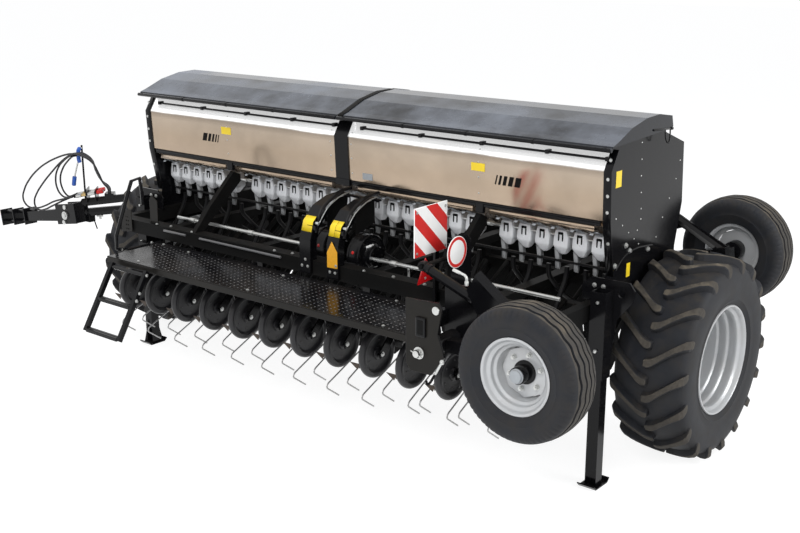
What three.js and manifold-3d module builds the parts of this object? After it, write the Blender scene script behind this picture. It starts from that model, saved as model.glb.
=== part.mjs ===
// An end-tow seed drill, standing parked on its two field wheels and its two rear stands.
// Millimetres. +X runs along the hopper to the end with the transport wheels, +Y is the field
// working direction and +Z is up. All sizes below are in the drill's own frame, whose x = 0 is the
// middle of the hopper and whose z = 0 is the floor. The last lines centre the machine's outline.

import * as THREE from 'three';
import * as BufferGeometryUtils from 'three/addons/utils/BufferGeometryUtils.js';
import Module from 'manifold-3d';

const wasm = await Module();
wasm.setup();

// ---------------------------------------------------------------- driving dimensions

const GAP = 0.4; // air left between pieces that touch
const ROW_PITCH = 134; // spacing of the seed rows
const ROWS_PER_SIDE = 15;
const POST_ROW = 9; // this row place, counted from the middle, holds a hopper post instead

const HOPPER_HALF = 2037; // outer face of the end plates
const END_PLATE = 6;
const SHEET = 4;
const LID_HALF = 2100;

const BEAM_LOW = 1050;
const BEAM_HIGH = 1150;
const REAR_BEAM = [-820, -720];
const FRONT_BEAM = [780, 880];
const SIDE_TUBE = [1966, 2030];
const OPENER_RAILS = [536, 1474]; // between two rows each

const FIELD_WHEEL = { radius: 664, halfWidth: 247.5, bead: 345 };
const FIELD_HUBS = { left: [-2410, 125, 664], right: [2292.5, 360, 664] };
const TRANSPORT_WHEEL = { radius: 380, halfWidth: 132, bead: 196 };
const TRANSPORT_AXLE_X = 687; // wheel centre from the arm's pivot, along and above it
const TRANSPORT_AXLE_Z = 42;
const TRANSPORT_PIVOT = { x: 1470, z: 980 };
const TRANSPORT_MID_Y = -20; // the two transport wheels mirror about this plane
const FRONT_ARM_LIFT = THREE.MathUtils.degToRad(9);

const PRESS_WHEEL = { y: -948, z: 682, radius: 165, halfWidth: 25, pitch: 300, count: 12 };
const OPENER_DISC = { z: 640, radius: 175 };
const OPENER_RANKS = [
  { name: 'opener_bank_rear', barY: -70, discY: -430, half: 1960 },
  { name: 'opener_bank_front', barY: 560, discY: 110, half: 1840 },
];

const PLATFORM = { x: [-1400, 1358], y: [-1393, -897], top: 1053, plate: 5, lip: 46 };
const STAND = { x: 2092, y: -483, half: 40, top: 1180 };
const METER = { y: -233, z: 1484 };
const HARROW = { y: [-694, -654], z: [640, 680], aside: 60 }; // its bar runs just ahead of the press wheels
const DRAWBAR_PIVOT = { x: -3800, z: 765 };
const DRAWBAR_DROP = THREE.MathUtils.degToRad(9.5);

// ---------------------------------------------------------------- materials

function finish(color, roughness, metalness = 0) {
  return new THREE.MeshStandardMaterial({ color, roughness, metalness });
}
const BLACK_PAINT = finish(0x111214, 0.25);
const STAINLESS = finish(0xb6a99a, 0.12, 1);
const ZINC = finish(0xc4c9cc, 0.3, 1);
const CAST_ALUMINIUM = finish(0xc6cacf, 0.4, 0.8);
const RUBBER = finish(0x1b1c1e, 0.85);
const RIM_SILVER = finish(0xb9bdc1, 0.35, 0.4);
const SPRING_STEEL = finish(0x8f9294, 0.4, 0.9);
const DISC_STEEL = finish(0x3a3c3e, 0.4, 0.7);
const SIGN_WHITE = finish(0xf2f2f2, 0.4);

// ---------------------------------------------------------------- shape helpers

const shapeOf = (outline) => new THREE.Shape(outline.map(([a, b]) => new THREE.Vector2(a, b)));

function extrude(outline, from, to, basis) {
  const geometry = new THREE.ExtrudeGeometry(shapeOf(outline), { depth: to - from, bevelEnabled: false });
  geometry.translate(0, 0, from);
  return geometry.applyMatrix4(basis);
}

const axis = { x: new THREE.Vector3(1, 0, 0), y: new THREE.Vector3(0, 1, 0), z: new THREE.Vector3(0, 0, 1) };
const ALONG_X = new THREE.Matrix4().makeBasis(axis.y, axis.z, axis.x);
const ALONG_Y = new THREE.Matrix4().makeBasis(axis.z, axis.x, axis.y);

// A prism from a (y, z) outline between two x values.
const prismX = (outline, x0, x1) => extrude(outline, x0, x1, ALONG_X);
// A prism from an (x, z) outline between two y values.
const prismY = (outline, y0, y1) => extrude(outline.map(([x, z]) => [z, x]), y0, y1, ALONG_Y);

function box([x0, x1], [y0, y1], [z0, z1]) {
  const geometry = new THREE.BoxGeometry(x1 - x0, y1 - y0, z1 - z0);
  return geometry.translate((x0 + x1) / 2, (y0 + y1) / 2, (z0 + z1) / 2);
}

// A round or square bar between two points; four sides give a square bar of that half width.
function bar(from, to, radius, sides = 12, twist = 0) {
  const start = new THREE.Vector3(...from);
  const run = new THREE.Vector3(...to).sub(start);
  const geometry = new THREE.CylinderGeometry(radius, radius, run.length(), sides);
  geometry.rotateY(twist);
  geometry.translate(0, run.length() / 2, 0);
  const turn = new THREE.Quaternion().setFromUnitVectors(axis.y, run.clone().normalize());
  return geometry.applyQuaternion(turn).translate(start.x, start.y, start.z);
}

// A round tube along a curve, such as a bent rail or a hose.
function tubeAlong(curve, radius, sides, steps) {
  const ring = [];
  for (let i = 0; i < sides; i += 1) {
    const angle = (2 * Math.PI * i) / sides;
    ring.push([radius * Math.cos(angle), radius * Math.sin(angle)]);
  }
  return new THREE.ExtrudeGeometry(shapeOf(ring), { steps, extrudePath: curve, bevelEnabled: false });
}

const curveThrough = (points, tension = 0.5) =>
  new THREE.CatmullRomCurve3(points.map((p) => new THREE.Vector3(...p)), false, 'centripetal', tension);

// Straight runs with a rounded bend at each inner point.
function bentTube(points, radius, bend, sides = 8) {
  const corners = points.map((p) => new THREE.Vector3(...p));
  const path = new THREE.CurvePath();
  let last = corners[0];
  for (let i = 1; i < corners.length - 1; i += 1) {
    const back = corners[i - 1].clone().sub(corners[i]).setLength(bend).add(corners[i]);
    const ahead = corners[i + 1].clone().sub(corners[i]).setLength(bend).add(corners[i]);
    path.add(new THREE.LineCurve3(last, back));
    path.add(new THREE.QuadraticBezierCurve3(back, corners[i], ahead));
    last = ahead;
  }
  path.add(new THREE.LineCurve3(last, corners[corners.length - 1]));
  const steps = Math.max(12, Math.round(path.getLength() / 160));
  return tubeAlong(path, radius, sides, steps);
}

// A sheet of even thickness bent along a (y, z) line.
function bentSheet(line, thickness) {
  const points = line.map(([y, z]) => new THREE.Vector2(y, z));
  const side = (sign) => points.map((point, i) => {
    const before = points[Math.max(i - 1, 0)];
    const after = points[Math.min(i + 1, points.length - 1)];
    const into = (i === 0 ? after.clone().sub(point) : point.clone().sub(before)).normalize();
    const out = (i === points.length - 1 ? into.clone() : after.clone().sub(point)).normalize();
    const normal = new THREE.Vector2(-into.y - out.y, into.x + out.x).normalize();
    const stretch = 1 / Math.max(0.4, normal.dot(new THREE.Vector2(-into.y, into.x)));
    const offset = normal.multiplyScalar((sign * thickness * stretch) / 2);
    return [point.x + offset.x, point.y + offset.y];
  });
  return [...side(1), ...side(-1).reverse()];
}

// A ring turned about the x axis or the y axis from a closed (radius, along) outline.
function turned(outline, sides, alongX) {
  const points = [...outline, outline[0]].map(([r, h]) => new THREE.Vector2(r, h));
  const geometry = new THREE.LatheGeometry(points, sides);
  return alongX ? geometry.rotateZ(-Math.PI / 2) : geometry;
}

const turnedX = (outline, sides) => turned(outline, sides, true);
const turnedY = (outline, sides) => turned(outline, sides, false);

// ---------------------------------------------------------------- joining and cutting

function toSolid(geometry) {
  const bare = geometry.index ? geometry.clone() : BufferGeometryUtils.mergeVertices(geometry.clone());
  bare.deleteAttribute('normal');
  bare.deleteAttribute('uv');
  const merged = BufferGeometryUtils.mergeVertices(bare, 1e-3);
  const { array } = merged.attributes.position;
  const index = Uint32Array.from(merged.index.array);
  let volume = 0;
  for (let i = 0; i < index.length; i += 3) {
    const [a, b, c] = [0, 1, 2].map((k) => new THREE.Vector3().fromArray(array, index[i + k] * 3));
    volume += a.dot(b.cross(c)) / 6;
  }
  if (volume < 0) index.reverse();
  const mesh = new wasm.Mesh({ numProp: 3, vertProperties: Float32Array.from(array), triVerts: index });
  return new wasm.Manifold(mesh);
}

function fromSolid(solid) {
  const mesh = solid.getMesh();
  const geometry = new THREE.BufferGeometry();
  geometry.setAttribute('position', new THREE.BufferAttribute(mesh.vertProperties, 3));
  geometry.setIndex(new THREE.BufferAttribute(mesh.triVerts, 1));
  geometry.computeVertexNormals();
  return geometry;
}

const join = (...parts) => fromSolid(parts.flat().map(toSolid).reduce((a, b) => a.add(b)));
function cut(body, ...tools) {
  return fromSolid(tools.flat().map(toSolid).reduce((a, b) => a.subtract(b), toSolid(body)));
}
const mirrorX = (geometry) => geometry.clone().scale(-1, 1, 1);
const mirrorMid = (geometry) => geometry.clone().scale(1, -1, 1).translate(0, 2 * TRANSPORT_MID_Y, 0);

const drill = new THREE.Group();

function piece(name, geometry, material, [x, y, z] = [0, 0, 0]) {
  const mesh = new THREE.Mesh(join(geometry), material);
  mesh.name = name;
  mesh.position.set(x, y, z);
  drill.add(mesh);
}

const SIDES = [['left', -1], ['right', 1]];

// ---------------------------------------------------------------- main frame

// A hopper post leans forward from the rear beam to the hopper floor.
const postOutline = [[-815, 1140], [-735, 1140], [-330, 1470], [-330, 1520], [-395, 1552], [-640, 1330]];
const postX = (ROW_PITCH * (2 * POST_ROW - 1)) / 2;

// Lugs in the middle of the front beam, where the drawbar is pinned for field work.
const lugOutline = [[870, 960], [1080, 960], [1110, 1010], [1110, 1130], [1070, 1190], [870, 1190]];
const lugHole = bar([-500, 1050, 1075], [500, 1050, 1075], 16);
const lugs = [-300, -190, 190, 300].map((x) => prismX(lugOutline, x - 10, x + 10));
const fieldHitch = cut(join(box([-310, 310], [870, 894], [960, 1190]), lugs), lugHole);

// The cylinder posts stand on the cross beams, each with a pin for its cylinder's foot.
const CYLINDER_FOOT = { x: 1250, z: 1380 };
const CYLINDER_Y = -1110;
function postPin(y0, y1) {
  return bar([CYLINDER_FOOT.x, y0, CYLINDER_FOOT.z], [CYLINDER_FOOT.x, y1, CYLINDER_FOOT.z], 13, 10);
}
const cylinderPosts = [
  box([1210, 1290], [REAR_BEAM[0], REAR_BEAM[0] + 60], [BEAM_LOW + 20, 1430]),
  box([1210, 1290], [FRONT_BEAM[1] - 60, FRONT_BEAM[1]], [BEAM_LOW + 20, 1430]),
  postPin(REAR_BEAM[0] + 20, CYLINDER_Y - 32),
  postPin(FRONT_BEAM[1] - 20, 2 * TRANSPORT_MID_Y - CYLINDER_Y + 32),
];

const eachSide = (make) => [make(-1), make(1)];
const spanX = (sign, a, b) => (sign > 0 ? [a, b] : [-b, -a]);
const WHEEL_ARM = [1968, 2028];
piece('main_frame', [
  box([-SIDE_TUBE[1], SIDE_TUBE[1]], REAR_BEAM, [BEAM_LOW, BEAM_HIGH]),
  box([-SIDE_TUBE[1], SIDE_TUBE[1]], FRONT_BEAM, [BEAM_LOW, BEAM_HIGH]),
  ...eachSide((sign) => box(spanX(sign, ...SIDE_TUBE), [REAR_BEAM[0], FRONT_BEAM[1]], [BEAM_LOW, BEAM_HIGH])),
  ...OPENER_RAILS.flatMap((x) => eachSide((sign) => box(
    spanX(sign, x - 40, x + 40), [REAR_BEAM[1] - 10, FRONT_BEAM[0] + 10], [BEAM_LOW + 20, BEAM_HIGH - 20],
  ))),
  ...eachSide((sign) => prismX(postOutline, sign * postX - 20, sign * postX + 20)),
  ...Object.values(FIELD_HUBS).map(([x, y]) => box(
    spanX(x, ...WHEEL_ARM), [y - 60, y + 60], [580, BEAM_LOW + 10],
  )),
  ...Object.values(FIELD_HUBS).map(([x, y, z]) => bar(
    [Math.sign(x) * WHEEL_ARM[0], y, z], [x + 40 * Math.sign(x), y, z], 37, 12,
  )),
  fieldHitch,
  ...cylinderPosts,
], BLACK_PAINT);

// ---------------------------------------------------------------- hopper

const lidLine = [
  [-462, 2066], [-452, 2084], [-400, 2101], [-235, 2166], [-55, 2204], [110, 2210], [276, 2184], [296, 2118],
];
const rearPanelLine = [[-345, 2052], [-421, 1933], [-405, 1637], [-372, 1612]];
const floorLine = [[-388, 1600], [-5, 1405], [200, 1405]];
const frontLine = [[208, 1410], [585, 1880], [598, 1972], [318, 2078], [310, 2096]];
const platePoints = [
  [-395, 1010], [-345, 1300], [-412, 1630], [-429, 1934], [-352, 2056], [-240, 2100], [-60, 2160],
  [100, 2168],
  [262, 2120], [300, 2084], [604, 1976], [632, 1580], [560, 1300], [560, 1010],
];

for (const [side, sign] of SIDES) {
  const plate = prismX(platePoints, HOPPER_HALF - END_PLATE, HOPPER_HALF);
  piece(`end_plate_${side}`, sign > 0 ? plate : mirrorX(plate), BLACK_PAINT);
}

const INNER_HALF = HOPPER_HALF - END_PLATE - GAP;
const BULKHEAD_HALF = 4;
piece('hopper_rear_panel', prismX(bentSheet(rearPanelLine, SHEET), -INNER_HALF, INNER_HALF), STAINLESS);
piece('hopper_floor', prismX(bentSheet(floorLine, SHEET), -INNER_HALF, INNER_HALF), STAINLESS);
piece('hopper_front_panel', prismX(bentSheet(frontLine, SHEET), -INNER_HALF, INNER_HALF), BLACK_PAINT);

// The bulkhead parts the hopper into a left and a right half; the divider runs lengthwise.
const DIVIDER = [-22, -18];
const bulkheadOutline = [
  [-338, 2042], [-413, 1931], [-398, 1642], [-369, 1612], [-384, 1604], [-6, 1412], [196, 1412], [203, 1416],
  [577, 1884], [589, 1966], [318, 2068],
];
piece('hopper_divider', [
  prismX(bulkheadOutline, -BULKHEAD_HALF, BULKHEAD_HALF),
  box([-INNER_HALF + 2, INNER_HALF - 2], DIVIDER, [1420, 2040]),
], STAINLESS);
const centreStrapLine = [[-351, 2064], [-430, 1935], [-413, 1622]];
piece('hopper_centre_strap', prismX(bentSheet(centreStrapLine, 3), -60, 60), BLACK_PAINT);

// Each lid is a bent sheet with a cheek at its outer end and a pipe handle along its lip.
const cheek = [...lidLine.slice(1), [296, 2108], [-440, 2080]];
for (const [side, sign] of SIDES) {
  const lid = join(
    prismX(bentSheet(lidLine, 5), 6, LID_HALF),
    prismX(cheek, LID_HALF - 5, LID_HALF),
    bar([6, -474, 2066], [LID_HALF, -474, 2066], 13, 8),
  );
  piece(`lid_${side}`, sign > 0 ? lid : mirrorX(lid), BLACK_PAINT);
}

// ---------------------------------------------------------------- metering and seed tubes

const rowPlaces = [];
for (let k = 1; k <= ROWS_PER_SIDE; k += 1) {
  if (k !== POST_ROW) rowPlaces.push(ROW_PITCH * (k - 0.5));
}
const meterOutline = [
  [METER.y - 62, METER.z + 40], [METER.y - 78, METER.z], [METER.y - 40, METER.z - 78],
  [METER.y + 12, METER.z - 78], [METER.y + 50, METER.z - 10],
];
const rankOf = (i) => (i + rowPlaces.length + 1) % 2;
const allRows = rowPlaces.flatMap((x, i) => [-x, x].map((place) => ({ place, rank: rankOf(i) })));
const METER_HALF = INNER_HALF - 8;
piece('metering_bank', [
  ...allRows.map(({ place }) => prismX(meterOutline, place - 46, place + 46)),
  bar([-METER_HALF, METER.y - 20, METER.z - 8], [METER_HALF, METER.y - 20, METER.z - 8], 9, 4),
], CAST_ALUMINIUM);

const TUBE_TOP = METER.z - 82;
const tubeParts = [box([-METER_HALF, METER_HALF], [METER.y - 8, METER.y + 12], [1290, 1302])];
for (const { place, rank } of allRows) {
  const foot = OPENER_RANKS[rank].discY + 60;
  const tubeLine = [[METER.y - 12, TUBE_TOP], [METER.y - 4, 1290], [foot, OPENER_DISC.z + 210]];
  tubeParts.push(prismX(bentSheet(tubeLine, 34), place - 17, place + 17));
}
piece('seed_tubes', tubeParts, RUBBER);

// ---------------------------------------------------------------- disc openers

OPENER_RANKS.forEach(({ name, barY, discY, half }, rank) => {
  const rows = allRows.filter((row) => row.rank === rank);
  const parts = [box([-half, half], [barY - 35, barY + 35], [915, 985])];
  for (const { place: x } of rows) {
    const arm = [[barY - 20, 930], [barY + 20, 930], [discY + 20, 620], [discY - 60, 640]];
    parts.push(prismX(arm, x - 8, x + 8));
    const disc = new THREE.CylinderGeometry(OPENER_DISC.radius, OPENER_DISC.radius, 22, 12);
    parts.push(disc.rotateZ(Math.PI / 2).translate(x, discY, OPENER_DISC.z));
  }
  for (const x of OPENER_RAILS.flatMap((place) => [-place, place])) {
    parts.push(box([x - 30, x + 30], [barY - 35, barY + 35], [980, BEAM_LOW + 20 - GAP]));
  }
  piece(name, parts, DISC_STEEL);
});

// ---------------------------------------------------------------- press wheels

const pressX = (i) => PRESS_WHEEL.pitch * (i - (PRESS_WHEEL.count - 1) / 2);
const PRESS_BORE = 14;
const { radius: PRESS_RADIUS, halfWidth: PRESS_HALF } = PRESS_WHEEL;
const pressOutline = [
  [PRESS_BORE, -PRESS_HALF], [PRESS_RADIUS, -PRESS_HALF],
  [PRESS_RADIUS, PRESS_HALF], [PRESS_BORE, PRESS_HALF],
];
const pressWheel = turnedX(pressOutline, 16);
const pressParts = [box([-1850, 1850], [-760, -700], [900, 960])];
for (let i = 0; i < PRESS_WHEEL.count; i += 1) {
  const number = String(i + 1).padStart(2, '0');
  piece(`press_wheel_${number}`, pressWheel, RUBBER, [pressX(i), PRESS_WHEEL.y, PRESS_WHEEL.z]);
  const x = pressX(i) + 42;
  const arm = [[-750, 905], [-705, 905], [-920, 655], [-965, 655], [-965, 705]];
  pressParts.push(prismX(arm, x - 6, x + 6));
  const inner = [pressX(i) - 34, PRESS_WHEEL.y, PRESS_WHEEL.z];
  pressParts.push(bar([x, PRESS_WHEEL.y, PRESS_WHEEL.z], inner, 9, 6));
}
for (const x of [-1500, -500, 500, 1500]) {
  pressParts.push(box([x - 30, x + 30], [-755, -725], [950, BEAM_LOW - GAP]));
}
piece('press_wheel_carrier', pressParts, BLACK_PAINT);

// ---------------------------------------------------------------- spring tine harrow

// Two tines trail past each press wheel, a long one and a short one, and hook forward at the tip.
const longTine = [[-674, 660], [-1135, 461], [-1150, 450], [-1146, 436], [-1030, 350]];
const shortTine = [[-674, 650], [-770, 556], [-975, 454], [-990, 443], [-986, 429], [-870, 343]];
const harrowParts = [box([-1740, 1760], HARROW.y, HARROW.z)];
const hangerOutline = [
  [-694, 640], [-654, 640], [-654, 980], [-725, BEAM_LOW - GAP], [-775, BEAM_LOW - GAP], [-694, 975],
];
for (const x of [-1250, -400, 400, 1250]) {
  harrowParts.push(prismX(hangerOutline, x - 8, x + 8));
}
for (let i = 0; i < PRESS_WHEEL.count; i += 1) {
  const x = pressX(i) + HARROW.aside;
  const forward = i < 9 ? 0 : 90; // the last three clear the transport wheel's swing
  const shifted = longTine.map(([y, z], k) => [k === 0 ? y : y + forward, z]);
  harrowParts.push(prismX(bentSheet(shifted, 12), x - 24, x - 12));
  harrowParts.push(prismX(bentSheet(shortTine, 12), x + 12, x + 24));
}
piece('harrow', harrowParts, SPRING_STEEL);

// ---------------------------------------------------------------- loading platform and ladder

const lip = (y) => box(PLATFORM.x, [y, y + 5], [PLATFORM.top - PLATFORM.lip, PLATFORM.top]);
const platformParts = [
  box(PLATFORM.x, PLATFORM.y, [PLATFORM.top - PLATFORM.plate, PLATFORM.top]),
  lip(PLATFORM.y[0]),
  lip(PLATFORM.y[1] - 5),
];
for (const x of [-1390, -470, 450, 1330]) {
  const bearer = [PLATFORM.y[0], REAR_BEAM[0] - GAP];
  platformParts.push(box([x, x + 20], bearer, [PLATFORM.top - 40, PLATFORM.top - 1]));
}
piece('loading_platform', platformParts, BLACK_PAINT);

const RAIL_X = -1480;
const handrail = bentTube([
  [RAIL_X, -985, 1345], [RAIL_X, -990, 1560], [RAIL_X, -1070, 1560],
  [RAIL_X, -1275, 1075], [RAIL_X, -1180, 1030], [RAIL_X, -840, 1030],
], 14, 45);
const railFoot = box([RAIL_X - 12, -1400 - GAP], [-960, -900], [1015, 1045]);
const railFootRear = box([RAIL_X - 12, -1400 - GAP], [-1230, -1180], [1015, 1045]);
piece('handrail', [handrail, railFoot, railFootRear], BLACK_PAINT);

const LADDER = { x: [-1290, -920], hingeY: -1425, hingeZ: 1030, run: -270, drop: -440 };
const rung = (share) => [LADDER.hingeY + LADDER.run * share, LADDER.hingeZ + LADDER.drop * share];
const ladderParts = LADDER.x.map((x) => bar([x, ...rung(0)], [x, ...rung(1)], 22, 4, Math.PI / 4));
for (const share of [0.06, 0.52, 0.97]) {
  ladderParts.push(bar([LADDER.x[0], ...rung(share)], [LADDER.x[1], ...rung(share)], 14, 6));
}
piece('ladder', ladderParts, BLACK_PAINT);

// ---------------------------------------------------------------- drive gearboxes and guards

const GEARBOX = { y: -560, z: 1180, x: [20, 330] };
const GUARD_X = [33, 282];
const drumOutline = [[0.01, -55], [145, -55], [145, 55], [70, 62], [70, 100], [0.01, 100]];
piece('drive_gearboxes', [
  ...GEARBOX.x.map((x) => turnedX(drumOutline, 16).translate(x, GEARBOX.y, GEARBOX.z)),
  box([GEARBOX.x[0] - 40, GEARBOX.x[1] + 40], [-700, -430], [BEAM_LOW - 10, BEAM_LOW + 12]),
  ...GEARBOX.x.map((x) => box([x - 40, x + 40], [-640, -480], [BEAM_LOW, BEAM_LOW + 60])),
  bar([-1500, GEARBOX.y - 80, 1195], [1900, GEARBOX.y - 80, 1195], 14, 6),
], BLACK_PAINT);

const strapLine = [[-842, 1062], [-838, 1290], [-800, 1410], [-700, 1500], [-560, 1545], [-440, 1550]];
const flangeOutline = [
  ...strapLine.slice(0, 4), [-650, 1450], [-745, 1375], [-778, 1270], [-780, 1152],
  [-821, 1152], [-821, 1062],
];
const guardParts = [box([GUARD_X[0] - 50, GUARD_X[1] + 90], [-470, -440], [1535, 1547])];
for (const x of GUARD_X) {
  const hoop = x + 68;
  guardParts.push(prismX(bentSheet(strapLine, 5), x - 50, x + 50));
  guardParts.push(prismX(flangeOutline, x + 45, x + 50));
  const hoopLine = [[hoop, -800, 1340], [hoop, -740, 1500], [hoop, -560, 1590], [hoop, -445, 1590]];
  guardParts.push(bentTube(hoopLine, 13, 70));
  guardParts.push(box([x, hoop + 6], [-812, -788], [1360, 1390]));
}
piece('gearbox_guards', guardParts, BLACK_PAINT);

// ---------------------------------------------------------------- field wheels

const tyreOutline = [
  [345.4, -205], [430, -243], [570, -247.5], [664, -170],
  [664, 170], [570, 247.5], [430, 243], [345.4, 205],
];
const rimOutline = [
  [42, -110], [75, -110], [75, -60], [330, -60], [345, -205],
  [345, 224], [330, 224], [330, -48], [75, -48], [42, 60],
];
for (const [side, sign] of SIDES) {
  const place = FIELD_HUBS[side];
  const rim = turnedX(rimOutline, 28);
  piece(`field_tyre_${side}`, turnedX(tyreOutline, 28), RUBBER, place);
  piece(`field_rim_${side}`, sign > 0 ? rim : mirrorX(rim), RIM_SILVER, place);
}

// ---------------------------------------------------------------- rear stands

const standPlate = [
  [1925, 1240], [1990, 1298], [2240, 1300], [2275, 1255], [2262, 1180], [2165, 1060],
  [2110, 650], [2050, 640],
  [1950, 960],
];
const footOutline = [
  [-95, 24], [-70, 0], [70, 0], [95, 24], [90, 30], [66, 8], [-66, 8], [-90, 30],
].map(([y, z]) => [STAND.y + y, z]);
for (const [side, sign] of SIDES) {
  const sleeve = cut(
    box([STAND.x - 50, STAND.x + 50], [STAND.y - 50, STAND.y + 50], [700, 1240]),
    box([STAND.x - 43, STAND.x + 43], [STAND.y - 43, STAND.y + 43], [600, 1300]),
  );
  const pinHole = bar([2190, -500, 1225], [2190, -300, 1225], 24);
  const plate = cut(prismY(standPlate, STAND.y + 50, STAND.y + 62), pinHole);
  const tieX = [SIDE_TUBE[1] + GAP, STAND.x - 45];
  const tie = box(tieX, [STAND.y + 48, STAND.y + 85], [BEAM_LOW + 5, BEAM_HIGH - 5]);
  const beamRoom = box([1900, SIDE_TUBE[1] + GAP], [-600, -300], [BEAM_LOW - GAP, BEAM_HIGH + GAP]);
  const bracket = cut(join(sleeve, plate, tie), beamRoom);
  piece(`stand_bracket_${side}`, sign > 0 ? bracket : mirrorX(bracket), BLACK_PAINT);
  const leg = box([STAND.x - 38, STAND.x + 38], [STAND.y - 38, STAND.y + 38], [0, STAND.top]);
  const foot = prismX(footOutline, STAND.x - 60, STAND.x + 60);
  const stand = join(leg, foot);
  piece(`stand_${side}`, sign > 0 ? stand : mirrorX(stand), BLACK_PAINT);
}

// ---------------------------------------------------------------- transport wheels, arms and cylinders

const { x: PIVOT_X, z: PIVOT_Z } = TRANSPORT_PIVOT;
const HUB = { x: PIVOT_X + TRANSPORT_AXLE_X, z: PIVOT_Z + TRANSPORT_AXLE_Z };
const EYE = { x: 1700, z: 1215 };

const transportTyre = turnedY([
  [196.4, -95], [250, -130], [330, -132], [380, -85], [380, 85], [330, 132], [250, 130], [196.4, 95],
], 24);
const transportRim = turnedY([
  [34, 95], [62, 95], [62, 20], [185, 20], [185, 102], [196, 102],
  [196, -102], [185, 8], [62, 8], [34, -70],
], 24);

const bracketPlate = [
  [1371, 1287], [1600, 1296], [1627, 1262], [1598, 1111], [1645, 987], [1555, 865], [1405, 859], [1374, 900],
];
const transportBracket = join(
  prismY(bracketPlate, -1430, -1416),
  prismY(bracketPlate, -1060, -1046),
  bar([PIVOT_X, -1455, PIVOT_Z], [PIVOT_X, -1050, PIVOT_Z], 24, 12),
  bar([1582, -1436, 1250], [1582, -1390, 1250], 16, 10),
  box([1371, 1405], [-1420, REAR_BEAM[0] - GAP], [BEAM_LOW + 5, BEAM_HIGH - 10]),
);
const pivotTube = bar([PIVOT_X, -1405, PIVOT_Z], [PIVOT_X, -1100, PIVOT_Z], 55, 16);
const pivotBore = bar([PIVOT_X, -1500, PIVOT_Z], [PIVOT_X, -900, PIVOT_Z], 28, 16);
const gusset = [
  [1655, 1400], [1690, 1430], [HUB.x + 40, 1085], [HUB.x - 45, 1065],
  [1875, 1220], [1715, 1185], [1670, 1185],
  [1600, 1310],
];
const transportArm = join(
  cut(pivotTube, pivotBore),
  prismY([[PIVOT_X + 45, 945], [HUB.x + 45, 975], [HUB.x + 45, 1065], [PIVOT_X + 45, 1018]], -1252, -1172),
  box([HUB.x - 45, HUB.x + 45], [-1180, -1100], [975, 1085]),
  bar([HUB.x, -1240, HUB.z], [HUB.x, -1500, HUB.z], 30, 12),
  prismY(gusset, -1165, -1150),
  bar([1672, -1157, 1415], [HUB.x, -1157, 1060], 34, 4, Math.PI / 4),
);
// The plate behind the eye and the eye's own pin stand clear of the cylinder.
const eyePin = bar([EYE.x, -1155, EYE.z], [EYE.x, CYLINDER_Y - 22, EYE.z], 13, 10);
const armWithPin = join(transportArm, eyePin);

const reach = Math.hypot(EYE.x - CYLINDER_FOOT.x, EYE.z - CYLINDER_FOOT.z);
const alongCylinder = (share) => [
  CYLINDER_FOOT.x + (EYE.x - CYLINDER_FOOT.x) * share,
  CYLINDER_Y,
  CYLINDER_FOOT.z + (EYE.z - CYLINDER_FOOT.z) * share,
];
function crossHole(at) {
  return bar([at.x, CYLINDER_Y - 60, at.z], [at.x, CYLINDER_Y + 60, at.z], 16, 8);
}
const eyeRing = (at, radius) => cut(
  bar([at.x, CYLINDER_Y - 18, at.z], [at.x, CYLINDER_Y + 18, at.z], radius, 10),
  crossHole(at),
);
const rodBore = bar(alongCylinder(0.105), alongCylinder(1.4), 15, 8);
const barrelTube = bar(alongCylinder(0.04), alongCylinder(0.82), 30, 10);
const barrel = join(cut(barrelTube, rodBore, crossHole(CYLINDER_FOOT)), eyeRing(CYLINDER_FOOT, 30));
const rodBar = bar(alongCylinder(0.217), alongCylinder(0.99), 12, 8);
const rod = join(cut(rodBar, crossHole(EYE)), eyeRing(EYE, 28));
function liftFront(geometry) {
  const turn = new THREE.Matrix4().makeRotationY(-FRONT_ARM_LIFT);
  return geometry.clone().translate(-PIVOT_X, 0, -PIVOT_Z).applyMatrix4(turn).translate(PIVOT_X, 0, PIVOT_Z);
}

piece('transport_bracket_rear', transportBracket, BLACK_PAINT);
piece('transport_arm_rear', armWithPin, BLACK_PAINT);
piece('cylinder_barrel_rear', barrel, BLACK_PAINT);
piece('cylinder_rod_rear', rod, ZINC);
piece('transport_tyre_rear', transportTyre, RUBBER, [HUB.x, -1399, HUB.z]);
piece('transport_rim_rear', transportRim, RIM_SILVER, [HUB.x, -1399, HUB.z]);

// The front set mirrors the rear one and is parked nine degrees higher.
const frontBeamRoom = box([1300, 1700], [0, FRONT_BEAM[1] + GAP], [800, 1300]);
const frontBracket = cut(mirrorMid(transportBracket), frontBeamRoom);
const lifted = (x, z) => new THREE.Vector3(x, 0, z).applyAxisAngle(axis.y, -FRONT_ARM_LIFT);
const frontEye = lifted(EYE.x - PIVOT_X, EYE.z - PIVOT_Z);
piece('transport_bracket_front', frontBracket, BLACK_PAINT);
piece('transport_arm_front', liftFront(mirrorMid(armWithPin)), BLACK_PAINT);
const frontHub = lifted(TRANSPORT_AXLE_X, TRANSPORT_AXLE_Z);
const frontPlace = [PIVOT_X + frontHub.x, 1359, PIVOT_Z + frontHub.z];
piece('transport_tyre_front', transportTyre, RUBBER, frontPlace);
piece('transport_rim_front', transportRim.clone().scale(1, -1, 1), RIM_SILVER, frontPlace);

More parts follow.
